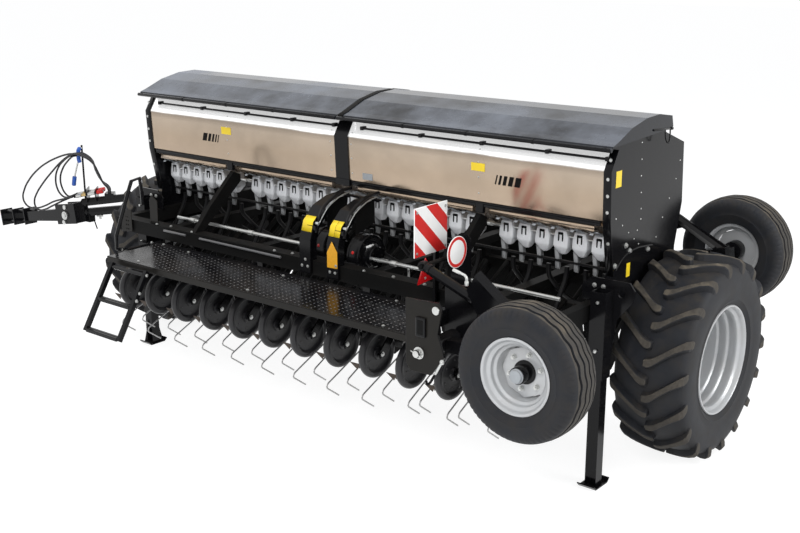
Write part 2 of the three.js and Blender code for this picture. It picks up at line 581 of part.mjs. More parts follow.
const frontAt = { x: PIVOT_X + frontEye.x, z: PIVOT_Z + frontEye.z };
const frontReach = Math.hypot(frontAt.x - CYLINDER_FOOT.x, frontAt.z - CYLINDER_FOOT.z);
const frontTilt = Math.atan2(frontAt.z - CYLINDER_FOOT.z, frontAt.x - CYLINDER_FOOT.x)
  - Math.atan2(EYE.z - CYLINDER_FOOT.z, EYE.x - CYLINDER_FOOT.x);
function tiltFront(geometry, slide) {
  const along = new THREE.Vector3(EYE.x - CYLINDER_FOOT.x, 0, EYE.z - CYLINDER_FOOT.z).normalize();
  const moved = mirrorMid(geometry).translate(along.x * slide, 0, along.z * slide);
  moved.translate(-CYLINDER_FOOT.x, 0, -CYLINDER_FOOT.z).rotateY(-frontTilt);
  return moved.translate(CYLINDER_FOOT.x, 0, CYLINDER_FOOT.z);
}
piece('cylinder_barrel_front', tiltFront(barrel, 0), BLACK_PAINT);
piece('cylinder_rod_front', tiltFront(rod, frontReach - reach), ZINC);

// ---------------------------------------------------------------- rear signs

piece('rear_signs', [
  box([1140, 1160], [-875, -835], [BEAM_LOW + 30, 1700]),
  box([1140, 1160], [-860, REAR_BEAM[0] - GAP], [BEAM_LOW + 30, BEAM_HIGH - 10]),
  box([1140, 1160], [-850, -650], [1345, 1370]),
  box([1158, 1167], [-1088, -768], [1404, 1704]),
  bar([1163, -657, 1356], [1167, -657, 1356], 98, 24),
  box([1145, 1165], [-669, -645], [1335, 1375]),
  box([1150, 1160], [-1010, -860], [1300, 1315]),
  prismX([[-1058, 1232], [-880, 1242], [-978, 1386]], 1159, 1167),
], SIGN_WHITE);

// ---------------------------------------------------------------- transport drawbar

const BOOM_START = { y: 20, z: 825 };
const boomRun = (lift, tighten) => [
  [-1580, 1135, 985 + lift], [-2640, 1135, 950 + lift],
  [DRAWBAR_PIVOT.x + 40, BOOM_START.y, BOOM_START.z + lift * tighten],
];
function atPivot(geometry) {
  return geometry.rotateY(-DRAWBAR_DROP).translate(DRAWBAR_PIVOT.x, 0, DRAWBAR_PIVOT.z);
}
const boomBox = [
  ...[-78, 66].map((y) => atPivot(box([-150, 150], [y, y + 12], [-83, 107]))),
  atPivot(box([110, 125], [-78, 78], [-83, 107])),
  bar([DRAWBAR_PIVOT.x, -92, DRAWBAR_PIVOT.z], [DRAWBAR_PIVOT.x, 92, DRAWBAR_PIVOT.z], 24, 12),
];
const boom = cut(
  join(bentTube(boomRun(68, 0.7), 42, 120, 6), bentTube(boomRun(-68, 0.7), 42, 120, 6)),
  box([DRAWBAR_PIVOT.x - 200, DRAWBAR_PIVOT.x + 94], [-200, 200], [400, 1000]),
);
const boomFoot = box([-1780, -1560], [FRONT_BEAM[1] + GAP, 1175], [880, 1090]);

// Along the boom's line in plan: u runs up the boom from the pivot, v to its left, z stays upright.
const BOOM_YAW = Math.atan2(1135 - BOOM_START.y, -2640 - DRAWBAR_PIVOT.x);
const onBoom = (geometry) => geometry.rotateZ(BOOM_YAW).translate(DRAWBAR_PIVOT.x, BOOM_START.y, 0);
const COUPLING = { u: [21, 275], z: [942, 986], v: [-74, -46, 24, 52] };
const couplings = [
  ...[135, 218].map((u) => onBoom(box([u, u + 8], [-94, 72], [895, 1012]))),
  ...COUPLING.v.map((v) => onBoom(
    bar([COUPLING.u[0], v, COUPLING.z[0]], [COUPLING.u[1], v, COUPLING.z[1]], 13, 8),
  )),
];
const clipBlock = onBoom(box([300, 385], [-56, 56], [890, 962]));

// The hose post stands on the boom; its peg carries the hoses.
const HOOK = { x: -3700, y: 85, peg: 1330 };
const hosePost = [
  bar([HOOK.x, HOOK.y, 880], [HOOK.x, HOOK.y, 1420], 9, 8),
  bar([HOOK.x, HOOK.y + 5, HOOK.peg], [HOOK.x, -42, HOOK.peg], 9, 8),
];
piece('transport_boom', [boom, ...boomBox, boomFoot, ...hosePost, ...couplings, clipBlock], BLACK_PAINT);

const tongueSolids = [
  prismY([[70, -52], [70, 52], [-120, 58], [-730, 44], [-730, -44], [-120, -58]], -45, 45),
  ...[-735, -930, -1140].map((x) => box([x, x + 14], [-65, 65], [-80, 80])),
  bar([-1150, 0, 48], [-600, 0, 48], 20, 8),
  bar([-1205, 0, -36], [-690, 0, -36], 14, 8),
];
const tongueBore = bar([0, -100, 0], [0, 100, 0], 28, 16);
piece('drawbar_tongue', atPivot(cut(join(tongueSolids), tongueBore)), BLACK_PAINT);

// ---------------------------------------------------------------- hoses

// Each hose rises out of the clip, crosses the peg in its own lane, loops and returns to its coupling.
const HOSES = {
  hose_long_rear: [
    [-3521, 218, 963], [-3521, 217, 1000], [-3494, 145, 1080], [-3470, 82, 1187], [-3478, 28, 1290],
    [-3560, -16, 1345], [-3700, -26, 1352], [-3790, -26, 1336], [-3920, -34, 1296], [-4070, -46, 1234],
    [-4205, -60, 1158], [-4340, -80, 1045], [-4425, -95, 930], [-4446, -102, 852], [-4408, -104, 796],
    [-4330, -104, 772], [-4210, -102, 784], [-4080, -97, 826], [-3960, -86, 878], [-3870, -64, 906],
    [-3797, -49, 924], [-3741, -27, 941],
  ],
  hose_long_front: [
    [-3538, 237, 963], [-3538, 236, 1000], [-3520, 158, 1084], [-3496, 88, 1192], [-3502, 46, 1292],
    [-3575, 8, 1343], [-3700, 0, 1352], [-3800, 0, 1316], [-3920, -6, 1246], [-4055, -22, 1137],
    [-4190, -45, 1008], [-4272, -62, 908], [-4304, -71, 838], [-4290, -75, 784], [-4230, -76, 758],
    [-4140, -73, 774], [-4030, -66, 820], [-3900, -44, 880], [-3817, -24, 916], [-3760, -7, 941],
  ],
  hose_short_rear: [
    [-3556, 257, 963], [-3556, 256, 1000], [-3546, 172, 1086], [-3522, 96, 1196], [-3526, 62, 1294],
    [-3588, 34, 1343], [-3700, 26, 1352], [-3795, 26, 1320], [-3905, 26, 1264], [-4012, 26, 1178],
    [-4068, 26, 1070], [-4055, 26, 975], [-3995, 26, 917], [-3925, 26, 903], [-3864, 26, 919],
    [-3806, 46, 941],
  ],
  hose_short_front: [
    [-3573, 276, 963], [-3573, 275, 1000], [-3572, 186, 1088], [-3548, 112, 1198], [-3550, 84, 1294],
    [-3604, 62, 1342], [-3700, 52, 1352], [-3788, 52, 1316], [-3890, 52, 1252], [-3985, 52, 1162],
    [-4030, 52, 1068], [-4015, 52, 985], [-3965, 52, 930], [-3905, 50, 912], [-3878, 52, 919],
    [-3825, 67, 941],
  ],
};
for (const [name, route] of Object.entries(HOSES)) {
  const curve = curveThrough(route);
  piece(name, tubeAlong(curve, 8.5, 8, Math.round(curve.getLength() / 55)), RUBBER);
}

// ---------------------------------------------------------------- the whole machine

const outline = new THREE.Box3().setFromObject(drill);
const machine = new THREE.Group();
const middle = outline.getCenter(new THREE.Vector3());
drill.position.set(-middle.x, -middle.y, -outline.min.z);
machine.add(drill);

export default machine;
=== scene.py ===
# %% [markdown]
# # A seed drill, from a packed set of parts to a finished model
# The machine is a wide box-shaped seed drill on two tractor-type tyres. Its steelwork, hopper, wheels and
# drawbar come in as solids that never move here. This lesson gives them their finishes and adds the finer
# pieces: tyres with real tread, metering housings, bolts, labels, springs and hoses.

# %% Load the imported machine
import math

import bmesh
import bpy
from mathutils import Matrix, Vector


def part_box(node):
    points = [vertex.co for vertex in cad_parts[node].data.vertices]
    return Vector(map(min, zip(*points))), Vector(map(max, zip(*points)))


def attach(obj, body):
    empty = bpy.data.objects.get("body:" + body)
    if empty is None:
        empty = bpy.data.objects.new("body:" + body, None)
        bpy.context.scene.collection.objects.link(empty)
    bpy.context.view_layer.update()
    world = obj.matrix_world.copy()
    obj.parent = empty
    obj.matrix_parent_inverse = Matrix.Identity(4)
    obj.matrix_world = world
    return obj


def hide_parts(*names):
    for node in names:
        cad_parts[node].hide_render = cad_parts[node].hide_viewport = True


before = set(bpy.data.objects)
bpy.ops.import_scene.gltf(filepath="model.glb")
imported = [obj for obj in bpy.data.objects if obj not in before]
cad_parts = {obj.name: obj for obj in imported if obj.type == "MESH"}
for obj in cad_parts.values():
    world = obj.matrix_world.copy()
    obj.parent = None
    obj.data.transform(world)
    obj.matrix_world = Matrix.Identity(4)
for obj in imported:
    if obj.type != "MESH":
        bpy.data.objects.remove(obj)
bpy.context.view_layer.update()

# %% [markdown]
# Every size below is given in millimetres on the machine itself: x runs across it from the middle of the
# hopper, y runs forwards to the tractor, and z goes up from the ground. One helper turns such a place into
# metres in the scene, so no piece needs a position of its own in the scene's frame.

# %% A place on the machine
panel_low, panel_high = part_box("hopper_rear_panel")
end_plate_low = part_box("end_plate_right")[0]
PLATE_REACH = 0.429
MIDDLE = Vector(((panel_low.x + panel_high.x) / 2, end_plate_low.y + PLATE_REACH, 0))


def at(x, y, z):
    """A place on the machine in millimetres, as a point in the scene."""
    return Vector((MIDDLE.x + x / 1000, MIDDLE.y + y / 1000, z / 1000))


print("machine origin", [round(c, 4) for c in MIDDLE])

# %% [markdown]
# The camera stands behind the right corner of the machine, a little above head height, and looks down along
# it. A 51 mm lens on a full-frame sensor keeps the long hopper from stretching.

# %% Camera
scene = bpy.context.scene
camera_data = bpy.data.cameras.new("camera")
camera_data.lens = 50.86
camera_data.sensor_width = 36
camera = bpy.data.objects.new("camera", camera_data)
scene.collection.objects.link(camera)
camera.location = at(5154, -6156, 3156)
camera.rotation_euler = Vector((-0.60557, 0.74879, -0.26872)).to_track_quat("-Z", "Y").to_euler()
scene.camera = camera
print("camera at", [round(c, 2) for c in camera.location])

# %% [markdown]
# A studio is a pale floor, a pale surround and soft lamps. The floor and the surround look white to the
# camera and in reflections, while the light that falls on the machine stays plain, so its colours render
# as they are written. The floor keeps the soft shadow that stands the machine on the ground.

# %% Surround
world = bpy.data.worlds.new("studio")
scene.world = world
world.use_nodes = True
tree = world.node_tree
tree.nodes.clear()
output = tree.nodes.new("ShaderNodeOutputWorld")
seen = tree.nodes.new("ShaderNodeBackground")
seen.inputs["Color"].default_value = (1, 1, 1, 1)
seen.inputs["Strength"].default_value = 1.0
lit = tree.nodes.new("ShaderNodeBackground")
lit.inputs["Color"].default_value = (0.93, 0.96, 1.0, 1)
lit.inputs["Strength"].default_value = 0.42
rays = tree.nodes.new("ShaderNodeLightPath")
either = tree.nodes.new("ShaderNodeMath")
either.operation = "MAXIMUM"
either.use_clamp = True
through = tree.nodes.new("ShaderNodeMath")
through.operation = "MAXIMUM"
mix = tree.nodes.new("ShaderNodeMixShader")
tree.links.new(rays.outputs["Is Camera Ray"], either.inputs[0])
tree.links.new(rays.outputs["Is Glossy Ray"], either.inputs[1])
tree.links.new(either.outputs[0], through.inputs[0])
tree.links.new(rays.outputs["Is Transmission Ray"], through.inputs[1])
tree.links.new(through.outputs[0], mix.inputs["Fac"])
tree.links.new(lit.outputs[0], mix.inputs[1])
tree.links.new(seen.outputs[0], mix.inputs[2])
tree.links.new(mix.outputs[0], output.inputs["Surface"])
scene.view_settings.view_transform = "Standard"
print("surround", len(tree.nodes), "nodes")

# %% Floor
bpy.ops.mesh.primitive_plane_add(size=120, location=(0, 0, -0.001))
floor = bpy.context.active_object
floor.name = "floor"
floor_finish = bpy.data.materials.new("pale_floor")
floor_finish.use_nodes = True
tree = floor_finish.node_tree
tree.nodes.clear()
output = tree.nodes.new("ShaderNodeOutputMaterial")
matte = tree.nodes.new("ShaderNodeBsdfDiffuse")
matte.inputs["Color"].default_value = (0.86, 0.86, 0.86, 1)
glow = tree.nodes.new("ShaderNodeEmission")
glow.inputs["Strength"].default_value = 1.27
rays = tree.nodes.new("ShaderNodeLightPath")
either = tree.nodes.new("ShaderNodeMath")
either.operation = "MAXIMUM"
share = tree.nodes.new("ShaderNodeMath")
share.operation = "MULTIPLY"
share.inputs[1].default_value = 0.70
mix = tree.nodes.new("ShaderNodeMixShader")
tree.links.new(rays.outputs["Is Camera Ray"], either.inputs[0])
tree.links.new(rays.outputs["Is Glossy Ray"], either.inputs[1])
tree.links.new(either.outputs[0], share.inputs[0])
tree.links.new(share.outputs[0], mix.inputs["Fac"])
tree.links.new(matte.outputs[0], mix.inputs[1])
tree.links.new(glow.outputs[0], mix.inputs[2])
tree.links.new(mix.outputs[0], output.inputs["Surface"])
floor.data.materials.append(floor_finish)
print("floor", [round(side) for side in floor.dimensions], "metres")

# %% [markdown]
# Three square lamps would do for any machine of this size. The key lamp stands behind the camera and models
# the tyres, the side lamp lifts the right end, and the top lamp draws the edges of the lids. Two of them are
# hidden from reflections, because a square of light on polished sheet looks like a sticker.


# %% Lamps
def soft_lamp(name, place, target, size, power):
    """A square area lamp that faces a place on the machine."""
    data = bpy.data.lights.new(name, "AREA")
    data.size = size
    data.energy = power
    lamp = bpy.data.objects.new(name, data)
    scene.collection.objects.link(lamp)
    lamp.location = at(*place)
    aim = at(*target) - lamp.location
    lamp.rotation_euler = aim.to_track_quat("-Z", "Y").to_euler()
    return lamp


key = soft_lamp("key_lamp", (3200, -6500, 6200), (0, -300, 1000), 4.0, 520)
key.visible_glossy = False
soft_lamp("side_lamp", (8500, 1500, 4200), (0, 0, 900), 4.0, 330)
top = soft_lamp("top_lamp", (-2500, 1500, 7500), (-500, 0, 900), 5.0, 380)
top.visible_glossy = False
# %% [markdown]
# Operators act on whatever is selected, so each helper first clears the selection. These few helpers
# stand for what a hand does over and over: place a primitive, bend a tube, cut a plate from a flat
# outline, spin a profile, copy a small piece to many places and join the copies.


# %% Selecting and baking a place into the mesh
def only(*objects):
    """Selects just these objects, the first one active."""
    bpy.ops.object.select_all(action="DESELECT")
    for one in objects:
        one.select_set(True)
    bpy.context.view_layer.objects.active = objects[0]


def settle(one):
    """Moves an object's place, turn and scale into its mesh."""
    only(one)
    bpy.ops.object.transform_apply(location=True, rotation=True, scale=True)
    return one


def joined(parts, name):
    """Joins finished parts into one named object at the origin."""
    only(*parts)
    if len(parts) > 1:
        bpy.ops.object.join()
    whole = bpy.context.view_layer.objects.active
    whole.name = name
    whole.data.name = name
    return settle(whole)


def apply_modifier(one, kind, **settings):
    """Adds a modifier, sets it and applies it at once."""
    only(one)
    modifier = one.modifiers.new(kind.lower(), kind)
    for key, value in settings.items():
        setattr(modifier, key, value)
    bpy.ops.object.modifier_apply(modifier=modifier.name)
    return one


def smooth(one, degrees=35):
    """Shades rounded faces smooth and keeps the sharp edges."""
    only(one)
    bpy.ops.object.shade_smooth_by_angle(angle=math.radians(degrees))
    return one


print("first helpers ready")

# %% [markdown]
# Most of the steelwork is round bar and rounded block. A cylinder or a cube gets its size and place from two
# ends or two corners, and a small bevel, because a perfectly sharp edge catches no light.


# %% Round bars and blocks
def turn_to(direction):
    """The turn that lays a piece's own z axis along a direction."""
    return Vector(direction).to_track_quat("Z", "Y").to_matrix().to_4x4()


def rod(start, end, radius, sides=16, bevel=0.0):
    """A round bar between two places, in millimetres, with an optional chamfer on its ends."""
    a, b = at(*start), at(*end)
    bpy.ops.mesh.primitive_cylinder_add(vertices=sides, radius=radius / 1000, depth=(b - a).length)
    bar = bpy.context.active_object
    bar.name = "rod"
    if bevel:
        bpy.ops.object.mode_set(mode="EDIT")
        bpy.ops.mesh.select_all(action="DESELECT")
        bpy.ops.object.mode_set(mode="OBJECT")
        for face in bar.data.polygons:
            face.select = abs(face.normal.z) > 0.9
        bpy.ops.object.mode_set(mode="EDIT")
        bpy.ops.mesh.bevel(offset=bevel / 1000, segments=2, affect="EDGES")
        bpy.ops.object.mode_set(mode="OBJECT")
    bar.matrix_world = Matrix.Translation((a + b) / 2) @ turn_to(b - a)
    return settle(bar)


def block(x, y, z, bevel=2.0, name="block"):
    """A block between two x, two y and two z values, in millimetres, with rounded edges."""
    low, high = at(x[0], y[0], z[0]), at(x[1], y[1], z[1])
    bpy.ops.mesh.primitive_cube_add(size=1, location=(low + high) / 2)
    cube = bpy.context.active_object
    cube.name = name
    cube.scale = high - low
    settle(cube)
    if bevel:
        apply_modifier(cube, "BEVEL", width=bevel / 1000, segments=2)
    return cube


print("bars and blocks ready")

# %% [markdown]
# A bent tube could be swept by hand, but a curve with a round bevel does it in one go. Each corner is
# replaced by a short arc between two points on its legs, which is how a pipe bender leaves it.


# %% Bent tubes
def tube(places, radius, name="tube", bend=0.0, sides=3, steps=5):
    """A round tube through places in millimetres, with each inner corner bent to a radius."""
    points = [Vector(p) for p in places]
    line = [points[0]]
    for i in range(1, len(points) - 1):
        corner = points[i]
        if not bend:
            line.append(corner)
            continue
        back = corner + (points[i - 1] - corner).normalized() * bend
        ahead = corner + (points[i + 1] - corner).normalized() * bend
        for step in range(steps + 1):
            t = step / steps
            line.append(back * (1 - t) ** 2 + corner * 2 * t * (1 - t) + ahead * t * t)
    line.append(points[-1])
    data = bpy.data.curves.new(name, "CURVE")
    data.dimensions = "3D"
    data.bevel_depth = radius / 1000
    data.bevel_resolution = sides
    data.use_fill_caps = True
    spline = data.splines.new("POLY")
    spline.points.add(len(line) - 1)
    for point, place in zip(spline.points, line):
        point.co = (*at(*place), 1)
    one = bpy.data.objects.new(name, data)
    scene.collection.objects.link(one)
    only(one)
    bpy.ops.object.convert(target="MESH")
    return bpy.context.active_object


print("tubes ready")

# %% [markdown]
# A cut plate starts as a flat closed curve. Its extrude gives the thickness and its bevel breaks the edges,
# and holes are simply more rings in the same curve. The plate is then stood up across x, y or z.


# %% Flat plates
HOLE_SIDES = 20
AXES = {
    "x": Matrix(((0, 0, 1, 0), (1, 0, 0, 0), (0, 1, 0, 0), (0, 0, 0, 1))),
    "y": Matrix(((1, 0, 0, 0), (0, 0, -1, 0), (0, 1, 0, 0), (0, 0, 0, 1))),
    "z": Matrix.Identity(4),
}


def plate(outline, across, low, high, bevel=1.5, holes=(), name="plate"):
    """A plate cut to a flat outline in millimetres and as thick as low to high along the axis across.

    Across x the outline is (y, z), across y it is (x, z), across z it is (x, y). Each hole is a
    (centre, centre, radius) in the same plane."""
    data = bpy.data.curves.new(name, "CURVE")
    data.dimensions = "2D"
    data.fill_mode = "BOTH"
    thickness = abs(high - low) / 1000
    data.extrude = thickness / 2 - bevel / 1000
    data.bevel_depth = bevel / 1000
    data.bevel_resolution = 1
    data.offset = -bevel / 1000
    rings = [list(outline)]
    for a, b, radius in holes:
        turns = [k * math.tau / HOLE_SIDES for k in range(HOLE_SIDES)]
        rings.append([(a + radius * math.cos(t), b + radius * math.sin(t)) for t in turns])
    for ring in rings:
        spline = data.splines.new("POLY")
        spline.points.add(len(ring) - 1)
        for point, (a, b) in zip(spline.points, ring):
            point.co = (a / 1000, b / 1000, 0, 1)
        spline.use_cyclic_u = True
    one = bpy.data.objects.new(name, data)
    scene.collection.objects.link(one)
    only(one)
    bpy.ops.object.convert(target="MESH")
    flat = bpy.context.active_object
    middle = (low + high) / 2
    shift = {"x": (middle, 0, 0), "y": (0, middle, 0), "z": (0, 0, middle)}[across]
    flat.matrix_world = Matrix.Translation(at(*shift)) @ AXES[across]
    return settle(flat)


print("plates ready")

# %% [markdown]
# Tyres, rims and drums are spun: half a cross section is turned about the axle with the spin operator, the
# seam is merged and the faces are turned outwards. A piece that repeats is made once and copied.


# %% Spun rings and copies
MERGE = 0.00005


def spun(profile, centre, axis="x", steps=48, name="ring", flip=False):
    """A ring spun about an axle from (radius, along) pairs in millimetres; the profile closes on itself."""
    mesh = bpy.data.meshes.new(name)
    turned = [(r / 1000, 0, h / 1000) for r, h in profile]
    edges = [(i, (i + 1) % len(turned)) for i in range(len(turned))]
    mesh.from_pydata(turned, edges, [])
    one = bpy.data.objects.new(name, mesh)
    scene.collection.objects.link(one)
    only(one)
    bpy.ops.object.mode_set(mode="EDIT")
    bpy.ops.mesh.select_all(action="SELECT")
    bpy.ops.mesh.spin(steps=steps, angle=math.tau, center=(0, 0, 0), axis=(0, 0, 1))
    bpy.ops.mesh.select_all(action="SELECT")
    bpy.ops.mesh.remove_doubles(threshold=MERGE)
    bpy.ops.mesh.normals_make_consistent(inside=False)
    bpy.ops.object.mode_set(mode="OBJECT")
    lay = {"x": turn_to((-1, 0, 0) if flip else (1, 0, 0)), "y": turn_to((0, -1, 0) if flip else (0, 1, 0)),
           "z": Matrix.Identity(4)}[axis]
    one.matrix_world = Matrix.Translation(at(*centre)) @ lay
    return settle(one)


def copies(pattern, places, name):
    """Copies a small piece, modelled at the origin, to many places; a place is a 4x4 matrix."""
    made = []
    for place in places:
        copy = pattern.copy()
        copy.data = pattern.data.copy()
        copy.matrix_world = place
        scene.collection.objects.link(copy)
        made.append(copy)
    bpy.data.objects.remove(pattern)
    return joined(made, name)


def facing(place, direction, turn=0.0):
    """The matrix that stands a small piece at a place in millimetres, its own z axis along a direction."""
    return Matrix.Translation(at(*place)) @ turn_to(direction) @ Matrix.Rotation(turn, 4, "Z")


def dress(one, finish, body, *replaced, slot=None):
    """Gives a piece its finish, lets it ride on a body and stand for the solids it replaces."""
    if finish is not None:
        one.data.materials.clear()
        one.data.materials.append(finish)
    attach(one, body)
    if replaced:
        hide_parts(*replaced)
    print("made", one.name, len(getattr(one.data, "polygons", [])), "faces")
    return one


print("spinning, copying and dressing ready")
# %% [markdown]
# Four hydraulic hoses rise from the clip at the head of the boom, cross the peg of the hose post side by
# side, hang in open loops and come back to their couplings. A bezier curve with automatic handles takes the
# same smooth line that a hose of even stiffness would. The hoses come before the other pieces, because
# they set how much room the machine takes at its head.

# %% Hose routes
HOSES = {
    "hose_long_rear": [
        (-3521, 218, 963), (-3521, 217, 1000), (-3494, 145, 1080), (-3470, 82, 1187), (-3478, 28, 1290),
        (-3560, -16, 1345), (-3700, -26, 1352), (-3790, -26, 1336), (-3920, -34, 1296), (-4070, -46, 1234),
        (-4205, -60, 1158), (-4340, -80, 1045), (-4425, -95, 930), (-4446, -102, 852), (-4408, -104, 796),
        (-4330, -104, 772), (-4210, -102, 784), (-4080, -97, 826), (-3960, -86, 878), (-3870, -64, 906),
        (-3797, -49, 924), (-3741, -27, 941),
    ],
    "hose_long_front": [
        (-3538, 237, 963), (-3538, 236, 1000), (-3520, 158, 1084), (-3496, 88, 1192), (-3502, 46, 1292),
        (-3575, 8, 1343), (-3700, 0, 1352), (-3800, 0, 1316), (-3920, -6, 1246), (-4055, -22, 1137),
        (-4190, -45, 1008), (-4272, -62, 908), (-4304, -71, 838), (-4290, -75, 784), (-4230, -76, 758),
        (-4140, -73, 774), (-4030, -66, 820), (-3900, -44, 880), (-3817, -24, 916), (-3760, -7, 941),
    ],
    "hose_short_rear": [
        (-3556, 257, 963), (-3556, 256, 1000), (-3546, 172, 1086), (-3522, 96, 1196), (-3526, 62, 1294),
        (-3588, 34, 1343), (-3700, 26, 1352), (-3795, 26, 1320), (-3905, 26, 1264), (-4012, 26, 1178),
        (-4068, 26, 1070), (-4055, 26, 975), (-3995, 26, 917), (-3925, 26, 903), (-3864, 26, 919),
        (-3806, 46, 941),
    ],
    "hose_short_front": [
        (-3573, 276, 963), (-3573, 275, 1000), (-3572, 186, 1088), (-3548, 112, 1198), (-3550, 84, 1294),
        (-3604, 62, 1342), (-3700, 52, 1352), (-3788, 52, 1316), (-3890, 52, 1252), (-3985, 52, 1162),
        (-4030, 52, 1068), (-4015, 52, 985), (-3965, 52, 930), (-3905, 50, 912), (-3878, 52, 919),
        (-3825, 67, 941),
    ],
}
HOSE_RADIUS = 0.0085
print("hose routes", {name: len(route) for name, route in HOSES.items()})


# %% Hose curves
def hose_curve(name, route):
    """A bezier curve of even thickness through a hose's places."""
    data = bpy.data.curves.new(name + "_line", "CURVE")
    data.dimensions = "3D"
    data.resolution_u = 8
    data.bevel_depth = HOSE_RADIUS
    data.bevel_resolution = 4
    data.use_fill_caps = True
    spline = data.splines.new("BEZIER")
    spline.bezier_points.add(len(route) - 1)
    for point, place in zip(spline.bezier_points, route):
        point.co = at(*place)
        point.handle_left_type = "AUTO"
        point.handle_right_type = "AUTO"
    one = bpy.data.objects.new(name + "_line", data)
    scene.collection.objects.link(one)
    return one


hoses = {name: hose_curve(name, route) for name, route in HOSES.items()}
print("hoses", sorted(hoses))
# %% [markdown]
# Real finishes are never even. Three effects turn up on almost everything here, so one node group holds all
# three: field dust that settles in soft patches, mottling in a coat, and the small lumps that break up a
# reflection. On the lids the dust part lays a painted sky reflection instead. The group gives out a colour, a
# roughness and a height for a bump.


# %% Small helpers for node groups
def value_socket(group, name, default, low=0.0, high=100.0, direction="INPUT"):
    """Adds a number socket to a group."""
    socket = group.interface.new_socket(name, in_out=direction, socket_type="NodeSocketFloat")
    if direction == "INPUT":
        socket.default_value = default
        socket.min_value = low
        socket.max_value = high
    return socket


def colour_socket(group, name, direction="INPUT"):
    """Adds a colour socket to a group."""
    socket = group.interface.new_socket(name, in_out=direction, socket_type="NodeSocketColor")
    if direction == "INPUT":
        socket.default_value = (0.5, 0.5, 0.5, 1)
    return socket


def node(tree, kind, **settings):
    """Adds a node and sets its plain properties."""
    made = tree.nodes.new(kind)
    for key, value in settings.items():
        setattr(made, key, value)
    return made


print("node helpers ready")

# %% Sockets of the coat group
coat = bpy.data.node_groups.new("dust_and_sheen_coat", "ShaderNodeTree")
colour_socket(coat, "Colour")
colour_socket(coat, "Dust")
value_socket(coat, "Dust amount", 0.3, 0, 1)
value_socket(coat, "Dust scale", 6.0)
value_socket(coat, "Mottle", 0.15, 0, 1)
value_socket(coat, "Mottle scale", 40.0)
value_socket(coat, "Gloss", 0.2, 0, 1)
value_socket(coat, "Up dust", 0.5, 0, 1)
colour_socket(coat, "Colour", direction="OUTPUT")
value_socket(coat, "Roughness", 0, direction="OUTPUT")
value_socket(coat, "Height", 0, direction="OUTPUT")
print("sockets", len(coat.interface.items_tree))

# %% Noises and the surface's own direction
inside = node(coat, "NodeGroupInput")
outside = node(coat, "NodeGroupOutput")
place = node(coat, "ShaderNodeTexCoord")
patches = node(coat, "ShaderNodeTexNoise")
patches.inputs["Detail"].default_value = 6
patches.inputs["Roughness"].default_value = 0.6
mottle = node(coat, "ShaderNodeTexNoise")
mottle.inputs["Detail"].default_value = 3
specks = node(coat, "ShaderNodeTexNoise")
specks.inputs["Scale"].default_value = 420
specks.inputs["Detail"].default_value = 2
geometry = node(coat, "ShaderNodeNewGeometry")
split = node(coat, "ShaderNodeSeparateXYZ")
coat.links.new(place.outputs["Object"], patches.inputs["Vector"])
coat.links.new(place.outputs["Object"], mottle.inputs["Vector"])
coat.links.new(place.outputs["Object"], specks.inputs["Vector"])
coat.links.new(inside.outputs["Dust scale"], patches.inputs["Scale"])
coat.links.new(inside.outputs["Mottle scale"], mottle.inputs["Scale"])
coat.links.new(geometry.outputs["Normal"], split.inputs[0])
print("noises", sum(1 for n in coat.nodes if n.type == "TEX_NOISE"))

# %% [markdown]
# Dust lies where a patch of the first noise and a surface that faces up meet. Both are masks between 0 and 1,
# so they are multiplied, and the result mixes the dust's colour over the paint. On the lids the same mask lays a
# painted sky reflection, a bluish grey, on the faces that look up.

# %% Where the dust lies, and on the lids the painted sky reflection
soft = node(coat, "ShaderNodeMapRange")
soft.inputs["From Min"].default_value = 0.42
soft.inputs["From Max"].default_value = 0.72
coat.links.new(patches.outputs["Fac"], soft.inputs["Value"])
facing_up = node(coat, "ShaderNodeMapRange")
facing_up.inputs["From Min"].default_value = 0.3
facing_up.inputs["From Max"].default_value = 1.0
coat.links.new(split.outputs["Z"], facing_up.inputs["Value"])
lift = node(coat, "ShaderNodeMath", operation="MULTIPLY")
coat.links.new(facing_up.outputs[0], lift.inputs[0])
coat.links.new(inside.outputs["Up dust"], lift.inputs[1])
total = node(coat, "ShaderNodeMath", operation="ADD")
coat.links.new(lift.outputs[0], total.inputs[0])
coat.links.new(inside.outputs["Dust amount"], total.inputs[1])
masked = node(coat, "ShaderNodeMath", operation="MULTIPLY", use_clamp=True)
coat.links.new(total.outputs[0], masked.inputs[0])
coat.links.new(soft.outputs[0], masked.inputs[1])
dust_and_sheen_mix = node(coat, "ShaderNodeMix", data_type="RGBA")
coat.links.new(masked.outputs[0], dust_and_sheen_mix.inputs["Factor"])
print("dust mask from", soft.name, "and", facing_up.name)

# %% Mottled colour under the dust
varied = node(coat, "ShaderNodeMath", operation="SUBTRACT")
varied.inputs[1].default_value = 0.5
coat.links.new(mottle.outputs["Fac"], varied.inputs[0])
swing = node(coat, "ShaderNodeMath", operation="MULTIPLY_ADD")
swing.inputs[2].default_value = 1.0
coat.links.new(varied.outputs[0], swing.inputs[0])
coat.links.new(inside.outputs["Mottle"], swing.inputs[1])
shaded = node(coat, "ShaderNodeVectorMath", operation="SCALE")
coat.links.new(inside.outputs["Colour"], shaded.inputs[0])
coat.links.new(swing.outputs[0], shaded.inputs["Scale"])
coat.links.new(shaded.outputs[0], dust_and_sheen_mix.inputs["A"])
coat.links.new(inside.outputs["Dust"], dust_and_sheen_mix.inputs["B"])
coat.links.new(dust_and_sheen_mix.outputs["Result"], outside.inputs["Colour"])
print("colour leaves through", dust_and_sheen_mix.name)

